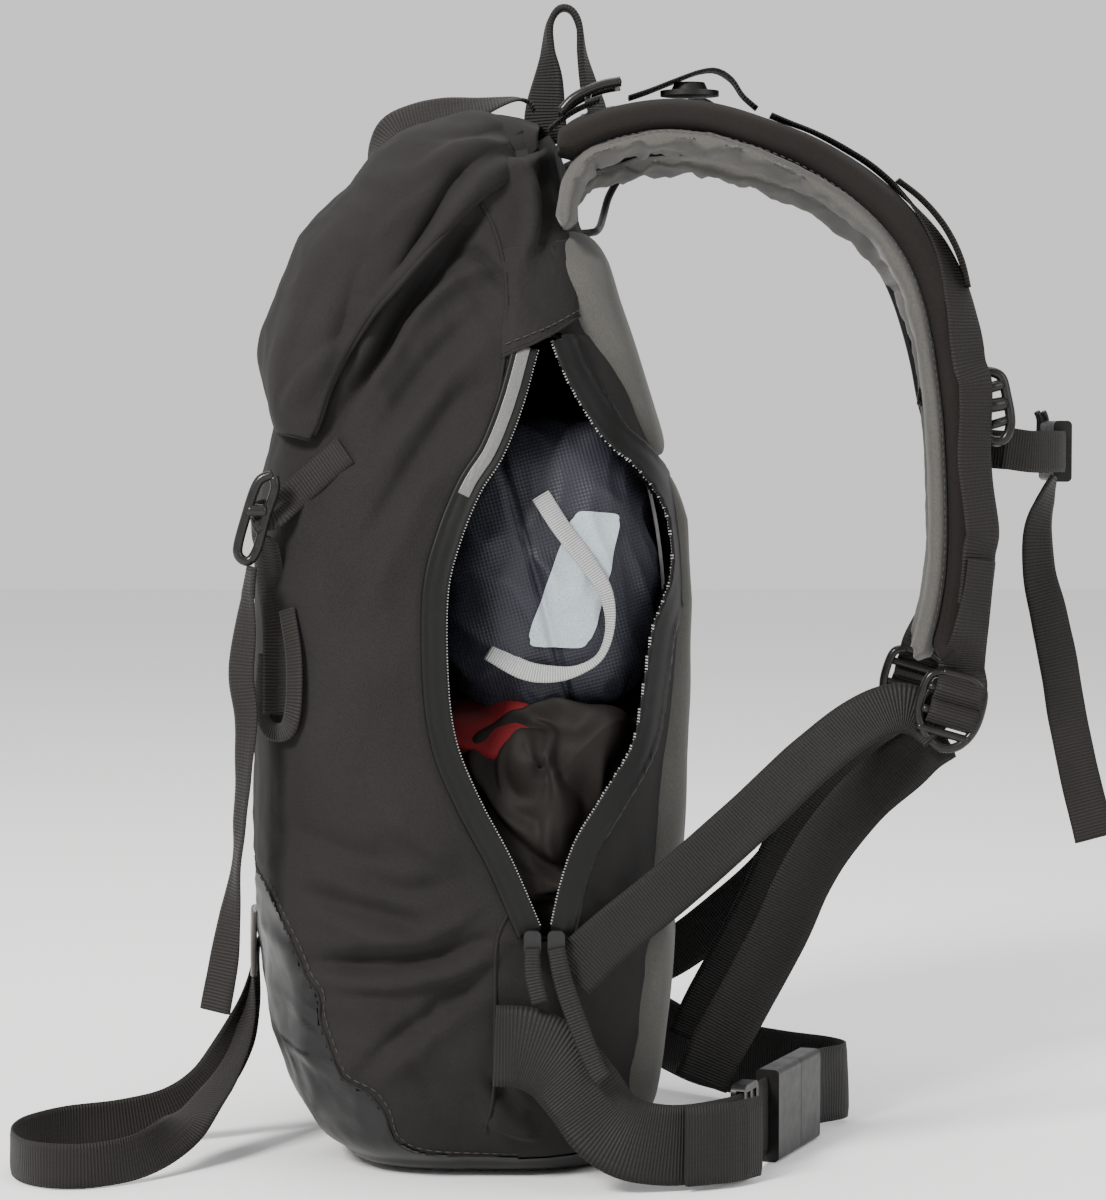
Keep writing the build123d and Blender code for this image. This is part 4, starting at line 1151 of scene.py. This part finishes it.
# Sternum strap
sternumLook = {"width": 20, "thick": 1.5}
routeH = [(215, -78, 347, (0.2, -1, 0)), (230, -70, 345, (0.6, -1, 0)), (243, -56, 345, (0.9, -0.6, 0)),
          (249, -43, 345, (1, -0.2, 0)), (250, -32.5, 345, (1, 0, 0))]
strap("sternumRight", routeH, sternumLook["width"], sternumLook["thick"], webThin, "sternum",
      nodes=("sternum_strap_right",))
routeI = [(250, 12, 345, (1, 0, 0)), (250, 26, 345, (1, 0, 0)), (250, 40, 345, (1, 0, 0)),
          (246, 54, 345, (0.9, 0.5, 0)),
          (235, 68, 345, (0.6, 1, 0)), (224, 74, 346, (0.3, 1, 0)), (215, 77, 347, (0.2, 1, 0))]
strap("sternumLeft", routeI, sternumLook["width"], sternumLook["thick"], webThin, "sternum",
      nodes=("sternum_strap_left",))
routeJ = [(244, -46, 333, (1, -0.2, 0)), (240, -46, 322, (0.9, -0.5, 0)), (236, -46, 306, (0.7, -0.8, 0)),
          (237, -46, 286, (0.5, -0.9, 0)), (242, -46, 264, (0.35, -1, 0)), (247, -46, 240, (0.3, -1, 0)),
          (251, -46, 216, (0.25, -1, 0)), (257, -46, 188, (0.2, -1, 0)), (265, -46, 156, (0.1, -1, 0))]
strap("sternumTail", routeJ, sternumLook["width"], sternumLook["thick"], webThin, "sternum",
      nodes=("sternum_tail",), ripple=1.0, seed=3, hem=True)


# Front strap, its tail and the ski loop
frontLook = {"width": 15, "thick": 1.6, "tailThick": 1.5, "loopWidth": 9}
skiLook = {"width": 21, "thick": 1.7, "patchWidth": 30, "patchThick": 3.0}
routeK = [(-96, 346), (-108, 336), (-120, 325), (-130, 313), (-134, 300), (-130, 284), (-128, 262), (-128, 240),
          (-128, 222)]
spotsK = [(*skinSpot(x, z, 1.4), (-0.45, -1, 0)) for x, z in routeK[:3]]
spotsK += [(-129, -119, 317, (-0.8, -1, 0)), (-136, -123, 315.5, (-0.7, -1, 0)), (-139, -121, 311, (-1, -0.3, 0)),
           (-134, -115, 302, (-0.7, -1, 0))]
spotsK += [(*skinSpot(x, z, 1.4), (-0.45, -1, 0)) for x, z in routeK[5:]]
strap("frontStrap", spotsK, frontLook["width"], frontLook["thick"], webThin,
      nodes=("front_strap",), ripple=0.5, seed=8)
loopK = [(*skinSpot(-122, 272, 2.6), (-0.6, -1, 0)), (*skinSpot(-118, 250, 4.4), (-0.6, -1, 0)),
         (*skinSpot(-117, 228, 4.6), (-0.6, -1, 0)), (*skinSpot(-121, 216, 4.2), (-0.5, -1, 0)),
         (*skinSpot(-129, 215, 3.6), (-0.5, -1, 0)), (*skinSpot(-133, 226, 3.2), (-0.5, -1, 0)),
         (*skinSpot(-132, 250, 3.0), (-0.5, -1, 0))]
strap("frontLoop", loopK, frontLook["loopWidth"], frontLook["tailThick"], webThin, seed=9)
routeL = [(-140, -125, 292, (-1, -0.3, 0)), (-142, -125, 276, (-1, -0.5, 0)), (-144, -125, 256, (-0.8, -1, 0)),
          (-145, -125, 240, (-0.7, -1, 0)), (-143, -125, 222, (-0.9, -1, 0)), (-144, -125, 198, (-1, -0.7, 0)),
          (-146, -125, 174, (-1, -0.5, 0)), (-148, -125, 150, (-1, -0.4, 0)), (-151, -125, 128, (-0.8, -0.8, 0)),
          (-154, -125, 106, (-0.4, -1, 0)), (-158, -125, 84, (-0.3, -1, 0))]
strap("frontStrapTail", routeL, frontLook["width"], frontLook["tailThick"], webThin,
      nodes=("front_strap_tail",), ripple=0.7, seed=10, hem=True)
routeM = [(-147, -22, 100, (-1, 0, 0)), (-149.5, -22, 80, (-1, -0.2, 0.1)), (-152, -26, 62, (-1, -0.5, 0.1)),
          (-157, -36, 46, (-0.9, -0.8, 0.1)), (-166, -54, 32, (-0.6, -1, 0.1)), (-178, -80, 20, (-0.3, -1, 0)),
          (-194, -108, 13, (0, -1, 0)), (-214, -124, 11.2, (0.2, -1, 0)), (-234, -126, 11.2, (-0.2, -1, 0)),
          (-250, -114, 11.2, (-0.8, -1, 0)), (-259, -90, 11.4, (-1, -0.3, 0)), (-257, -62, 11.6, (-1, 0.5, 0)),
          (-240, -38, 12, (-0.6, 1, 0)), (-214, -26, 13, (-0.2, 1, 0)), (-190, -20, 18, (0.1, 1, 0)),
          (-172, -17, 30, (0.2, 1, 0.2)), (-160, -15, 48, (-0.4, 1, 0.2)), (-153, -14, 66, (-0.9, 0.6, 0.1)),
          (-149.5, -14, 84, (-1, 0.2, 0)), (-147, -14, 102, (-1, 0, 0))]
strap("skiLoop", routeM, skiLook["width"], skiLook["thick"], webThin, nodes=("ski_loop",), ripple=0.6, seed=11)
patchRoute = [(-148, -20, 118, (-1, -0.1, 0)), (-149, -20, 102, (-1, -0.1, 0)), (-148.5, -20, 86, (-1, -0.1, 0))]
strap("skiPatch", patchRoute, skiLook["patchWidth"], skiLook["patchThick"], fuzzTape,
      nodes=("ski_patch",), ripple=1.0, seed=12)
print("front webbing ready")


# Pulls on the two zip sliders
pullLook = {"longWidth": 9, "longThick": 1.8, "shortWidth": 8, "shortThick": 1.7}
pullLong = [(1.5, -143.2, 116, (0, -1, 0), 8), (5, -143.2, 100, (0.1, -1, 0)), (12, -143.4, 80, (0.1, -1, 0)),
            (20, -143.2, 60, (0.05, -1, 0)), (23.5, -143.2, 55, (0, -1, 0))]
strap("pullLong", pullLong, pullLook["longWidth"], pullLook["longThick"], webDark, "long_pull",
      nodes=("zip_pull_long",), hem=True)
pullShort = [(-9.5, -143.2, 116, (0, -1, 0), 7), (-9, -143.2, 104, (0, -1, 0)), (-6, -143.2, 91, (0, -1, 0))]
strap("pullShort", pullShort, pullLook["shortWidth"], pullLook["shortThick"], webDark, "short_pull",
      nodes=("zip_pull_short",), hem=True)


# Back foam: crowned pads that follow the back's outer profile, height and x in mm
foamOuter = np.array([(18, 50), (74, 57), (113, 61), (152, 64), (225, 67), (273, 68), (312, 66), (331, 61.5),
                      (346, 57), (363, 51), (382, 45), (399, 39.5), (418, 33), (436, 28), (452, 22)], float)
foamLook = {"edge": 4.5, "rows": 70, "columns": 56}


def skinBack(y, z):
    front, back, half = np.moveaxis(tableAt(bagTable, np.asarray(z, float)), -1, 0)
    n = bagLook["squareness"]
    part = np.clip(np.abs(y) / half, 0, 0.98)
    return (front + back) / 2 + (back - front) / 2 * (1 - part ** n) ** (1 / n)


def backPad(name, y0, y1, z0, z1, material, nodes, seed=0, taper=((0, 1), (1, 1))):
    rows, columns = foamLook["rows"], foamLook["columns"]
    verts = []
    for face in (1, 0):
        for v in np.linspace(-1, 1, rows):
            for u in np.linspace(-1, 1, columns):
                big = max(abs(u), abs(v), 1e-6)
                k = (abs(u) ** 5 + abs(v) ** 5) ** 0.2
                uu, vv = (u * big / k, v * big / k) if k > 0 else (u, v)
                z = (z0 + z1) / 2 + vv * (z1 - z0) / 2
                narrow = float(np.interp(z, *taper))
                low, high = (edge * narrow if abs(edge) > 60 else edge for edge in (y0, y1))
                y = (low + high) / 2 + uu * (high - low) / 2
                base = float(skinBack(y, z))
                outer = float(np.interp(z, foamOuter[:, 0], foamOuter[:, 1])) - 4.0 * (abs(y) / 110) ** 3
                crown = max(0.0, 1 - big ** 9) ** 0.5
                soft = 0.7 * noise.noise(Vector((y * 0.04, z * 0.03, seed))) * crown
                height = base - 1.0 + (max(outer, base + 3) - base + 1.0) * crown + soft if face else base - 1.5
                verts.append((height * mm, y * mm, z * mm))
    front = gridFaces(rows, columns)
    offset = rows * columns
    faces = list(front) + [tuple(offset + q for q in f[::-1]) for f in front]
    edge = [c for c in range(columns)] + [r * columns + columns - 1 for r in range(1, rows)]
    edge += [(rows - 1) * columns + c for c in range(columns - 2, -1, -1)]
    edge += [r * columns for r in range(rows - 2, 0, -1)]
    for a, b in zip(edge, edge[1:] + edge[:1]):
        faces.append((a, a + offset, b + offset, b))
    return keepPiece(name, verts, faces, material, "pack", nodes)


foamTop = backPad("backPadTop", -100, 100, 342, 452, greyKnit, ("back_pads",), 1,
                  ((342, 353, 370, 391, 424, 452), (0.78, 0.80, 0.84, 0.94, 1.0, 0.98)))
sideTaper = ((128, 200, 230, 260, 300, 338), (1.0, 0.97, 0.86, 0.73, 0.68, 0.72))
foamRight = backPad("backPadRight", -89, -14, 128, 338, greyKnit, (), 2, sideTaper)
foamLeft = backPad("backPadLeft", 14, 89, 128, 338, greyKnit, (), 3, sideTaper)
foamLow = backPad("lumbarPad", -89, 89, 20, 122, greyKnit, ("lumbar_pad",), 4)
print("back foam ready")


# Inside: sleeve, folded airbag and crumpled liner
# A closed form about a centre, pushed in and out by a function of direction
def blob(name, centre, radii, rows, columns, shape, material, nodes, square=2.6):
    verts = [(centre[0] * mm, centre[1] * mm, (centre[2] + radii[2]) * mm)]
    for r in range(1, rows):
        polar = math.pi * r / rows
        for c in range(columns):
            around = 2 * math.pi * c / columns
            d = Vector((math.sin(polar) * math.cos(around), math.sin(polar) * math.sin(around), math.cos(polar)))
            reach = (abs(d.x) ** square + abs(d.y) ** square + abs(d.z) ** square) ** (-1 / square)
            push = shape(d)
            spot = [centre[k] + d[k] * reach * radii[k] for k in range(3)]
            front, back, half = tableAt(bagTable, np.array(spot[2]))
            middle, deep = (front + back) / 2, (back - front) / 2 - 7
            norm = (abs((spot[0] - middle) / deep) ** 3.3 + abs(spot[1] / (half - 7)) ** 3.3) ** (1 / 3.3)
            if norm > 1:
                spot[0], spot[1] = middle + (spot[0] - middle) / norm, spot[1] / norm
            spot = [spot[k] + d[k] * push for k in range(3)]
            verts.append(tuple(v * mm for v in spot))
    verts.append((centre[0] * mm, centre[1] * mm, (centre[2] - radii[2]) * mm))
    faces = [(0, 1 + c, 1 + (c + 1) % columns) for c in range(columns)]
    for r in range(rows - 2):
        for c in range(columns):
            a, b = 1 + r * columns + c, 1 + r * columns + (c + 1) % columns
            faces.append((a, a + columns, b + columns, b))
    last = len(verts) - 1
    start = 1 + (rows - 2) * columns
    faces += [(last, start + (c + 1) % columns, start + c) for c in range(columns)]
    return keepPiece(name, verts, faces, material, "pack", nodes)


def sleeveShape(d):
    big = 3.0 * noise.noise(d * 1.6 + Vector((2, 0, 0)))
    crease = abs(noise.noise(Vector((d.x * 3 + d.z * 2, d.y * 2, d.z * 3 - d.x)))) * 5.0
    seamDip = -4.0 * math.exp(-((d.x * 0.93 + d.z * 0.36 + 0.12) / 0.035) ** 2)
    return big - crease + seamDip + 1.0


def redShape(d):
    return 4 * noise.noise(d * 2.2) + 3.5 * math.sin(d.z * 9 + 2.4 * noise.noise(d * 2.0)) + 1


def crumpleShape(d):
    bend = Vector((noise.noise(d * 1.5 + Vector((3, 1, 4))), noise.noise(d * 1.5 + Vector((1, 5, 9))),
                   noise.noise(d * 1.5 + Vector((2, 6, 5)))))
    away = math.hypot(d.x + 0.25, d.z - 0.45) + 0.5 * bend.x
    around = math.atan2(d.z - 0.45, d.x + 0.25)
    rings = 0.5 + 0.5 * math.sin(12.5 * away + around + 2.6 * bend.z)
    cross = 0.5 + 0.5 * math.sin(17.0 * away - 2 * around + 4.0 * bend.y)
    return 6.5 * rings ** 1.7 + 2.6 * cross ** 2.2 + 6.0 * noise.noise(d * 1.9 + bend * 1.1) - 7.5


sackLook = {"centre": (-2, -70, 289), "radii": (55, 44, 74), "rows": 150, "columns": 220}
redLook = {"centre": (-14, -61, 203), "radii": (46, 45, 25), "rows": 110, "columns": 170, "square": 3.0}
# The liner is real, but its top is raised to about z 231 mm so that its dark cloth also fills the shaded band under the
# sleeve's lower edge: partly painted shade
linerLook = {"centre": (6, -80, 171), "radii": (52, 50, 60), "rows": 260, "columns": 360}
blob("airbagSleeve", sackLook["centre"], sackLook["radii"], sackLook["rows"], sackLook["columns"], sleeveShape,
     navyCloth, ("airbag_sleeve",))
blob("foldedAirbag", redLook["centre"], redLook["radii"], redLook["rows"], redLook["columns"], redShape, redCloth,
     ("folded_airbag",), redLook["square"])
blob("baseLiner", linerLook["centre"], linerLook["radii"], linerLook["rows"], linerLook["columns"], crumpleShape,
     brownCloth, ("base_liner",))


# A place on the sleeve's outer side, near the opening
def onSleeve(x, z, lift):
    dx, dz = (x + 2) / 55, (z - 289) / 74
    part = max(0.0, 1 - abs(dx) ** 2.6 - abs(dz) ** 2.6) ** (1 / 2.6)
    y = -70 - 44 * part
    d = Vector((dx * 55, y + 70, dz * 74)).normalized()
    push = sleeveShape(Vector((dx, (y + 70) / 44, dz)).normalized())
    return (x + d.x * push, y + d.y * push - lift, z)


ribbonRoute = [(-6, 325), (4, 310), (16, 294), (24, 280), (27, 264), (22, 250), (12, 243), (0, 241), (-14, 243),
               (-30, 252)]
ribbonWidths = [9, 9.5, 9, 7, 4.5, 4, 5, 8, 9.5, 10]
ribbonSpots = []
for k, (x, z) in enumerate(ribbonRoute):
    spot = onSleeve(x, z, 2.0 + 5.0 * math.sin(k / 9 * math.pi))
    ribbonSpots.append((*spot, (0.5 * math.sin(k * 0.9), -1, 0.25), ribbonWidths[k]))
strap("sleeveRibbon", ribbonSpots, 9, 1.0, webGrey, ripple=0.6, seed=21)


def sleevePatch():
    corners = [(10, 318), (34, 316), (17, 253), (-14, 254)]
    rows, columns = 40, 24
    verts = []
    for r in range(rows):
        for c in range(columns):
            u, v = c / (columns - 1), r / (rows - 1)
            inset = 0.06 * ((abs(2 * u - 1) ** 8) * (abs(2 * v - 1) ** 8))
            uu, vv = u + (0.5 - u) * inset * 2, v + (0.5 - v) * inset * 2
            left = np.array(corners[0]) * (1 - vv) + np.array(corners[3]) * vv
            right = np.array(corners[1]) * (1 - vv) + np.array(corners[2]) * vv
            x, z = left * (1 - uu) + right * uu
            verts.append(tuple(v * mm for v in onSleeve(x, z, 0.7)))
    return keepPiece("sleevePatch", verts, gridFaces(rows, columns), patchPrint, "pack")


sleevePatch()
print("contents ready")

# CAD nodes that keep their shape and take a finish
finishes = {
    buckleBlack: ["strap_top_buckle", "sternum_buckle_socket", "sternum_buckle_plug", "belt_buckle_socket",
                  "belt_buckle_plug", "belt_triglide"],
    zipBlack: ["zip_sliders"],
    zipTape: ["burst_zip"],
}
for material, nodes in finishes.items():
    for node in nodes:
        useMaterial(node, material)
steel = Finish("valveSteel", (0.5, 0.45, 0.33), 0.3, metal=1.0)
steel.relief(steel.clouds(900, 2.0, (1, 1, 6)), 0.2, 0.0001)
alloy = Finish("cylinderAlloy", (0.42, 0.43, 0.45), 0.34, metal=1.0)
alloy.relief(alloy.clouds(700, 2.0, (1, 1, 8)), 0.25, 0.0001)
useMaterial("gas_cylinder", alloy.material)
useMaterial("frame_stays", alloy.material)
useMaterial("valve_head", steel.material)
useMaterial("actuator_lever", steel.material)
useMaterial("trigger_handle", plasticFinish("triggerRed", (0.45, 0.03, 0.02), 0.4))
useMaterial("frame_sheet", plasticFinish("sheetGrey", (0.08, 0.08, 0.08), 0.5))


# Trigger cable: from the valve, out at the top and along the left strap to its handle
cableLook = {"thick": 4.0, "length": 609.0}
cableRoute = [(10, 66, 276), (10, 66, 306), (2, 60, 346), (-12, 52, 388), (-26, 44, 419), (-20, 38, 455),
              (20, 38, 455),
              (24, 62, 459), (26, 92, 466), (30, 107.2, 482), (46, 107.2, 502), (84, 107.2, 500), (118, 107.2, 488),
              (149, 107.2, 470), (176, 107.2, 440), (190, 107.2, 398), (196, 107.2, 362), (206, 107.2, 342),
              (214.5, 98, 334), (213.5, 82, 331), (213.5, 75, 324)]


def makeCable():
    line = bpy.data.curves.new("triggerCable", "CURVE")
    line.dimensions = "3D"
    line.bevel_depth, line.bevel_resolution = cableLook["thick"] / 2 * mm, 5
    spline = line.splines.new("NURBS")
    spline.points.add(len(cableRoute) - 1)
    for point, (x, y, z) in zip(spline.points, cableRoute):
        point.co = (x * mm, y * mm, z * mm, 1)
    spline.order_u, spline.use_endpoint_u, spline.resolution_u = 3, True, 10
    line.use_fill_caps = True
    line.materials.append(plasticFinish("cableBlack", (0.008, 0.008, 0.008), 0.45))
    piece = bpy.data.objects.new("triggerCable", line)
    bpy.context.scene.collection.objects.link(piece)
    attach(piece, "pack")
    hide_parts("trigger_cable")


makeCable()


# Floor, light and camera
studioLook = {"floor": 6.0, "sky": 0.95, "key": 165, "fill": 26, "top": 30}


def makeStudio():
    size = studioLook["floor"]
    mesh = bpy.data.meshes.new("floor")
    mesh.from_pydata([(-size, -size, 0), (size, -size, 0), (size, size, 0), (-size, size, 0)], [], [(0, 1, 2, 3)])
    floor = bpy.data.objects.new("floor", mesh)
    bpy.context.scene.collection.objects.link(floor)
    paper = Finish("floorPaper", (0.86, 0.86, 0.86), 0.9)
    paper.relief(paper.clouds(300, 2.0), 0.05, 0.0002)
    mesh.materials.append(paper.material)
    world = bpy.data.worlds.new("studio")
    bpy.context.scene.world = world
    world.use_nodes = True
    world.node_tree.nodes["Background"].inputs[0].default_value = (1.0, 1.0, 1.0, 1.0)
    world.node_tree.nodes["Background"].inputs[1].default_value = studioLook["sky"]
    for name, place, aim, size, power, colour in (
            ("keyLight", (-1.5, -2.0, 2.0), (0, 0, 0.25), 0.7, studioLook["key"], (1.0, 0.98, 0.95)),
            ("fillLight", (2.0, -1.6, 1.2), (0, 0, 0.3), 1.4, studioLook["fill"], (0.96, 0.98, 1.0)),
            ("topLight", (0.1, 0.3, 2.2), (0, 0, 0.3), 1.5, studioLook["top"], (1, 1, 1))):
        lamp = bpy.data.lights.new(name, "AREA")
        lamp.size, lamp.energy, lamp.color = size, power, colour
        piece = bpy.data.objects.new(name, lamp)
        piece.location = place
        piece.rotation_euler = (Vector(aim) - Vector(place)).to_track_quat("-Z", "Y").to_euler()
        bpy.context.scene.collection.objects.link(piece)


cameraLook = {"distance": 1.75, "height": 0.356, "pitch": 2.8, "lens": 105.0}


def makeCamera():
    data = bpy.data.cameras.new("camera")
    data.lens, data.sensor_width = cameraLook["lens"], 36.0
    data.clip_end = 50
    camera = bpy.data.objects.new("camera", data)
    camera.location = (0, -cameraLook["distance"], cameraLook["height"])
    camera.rotation_euler = (math.radians(90 - cameraLook["pitch"]), 0, 0)
    bpy.context.scene.collection.objects.link(camera)
    bpy.context.scene.camera = camera


makeStudio()
makeCamera()
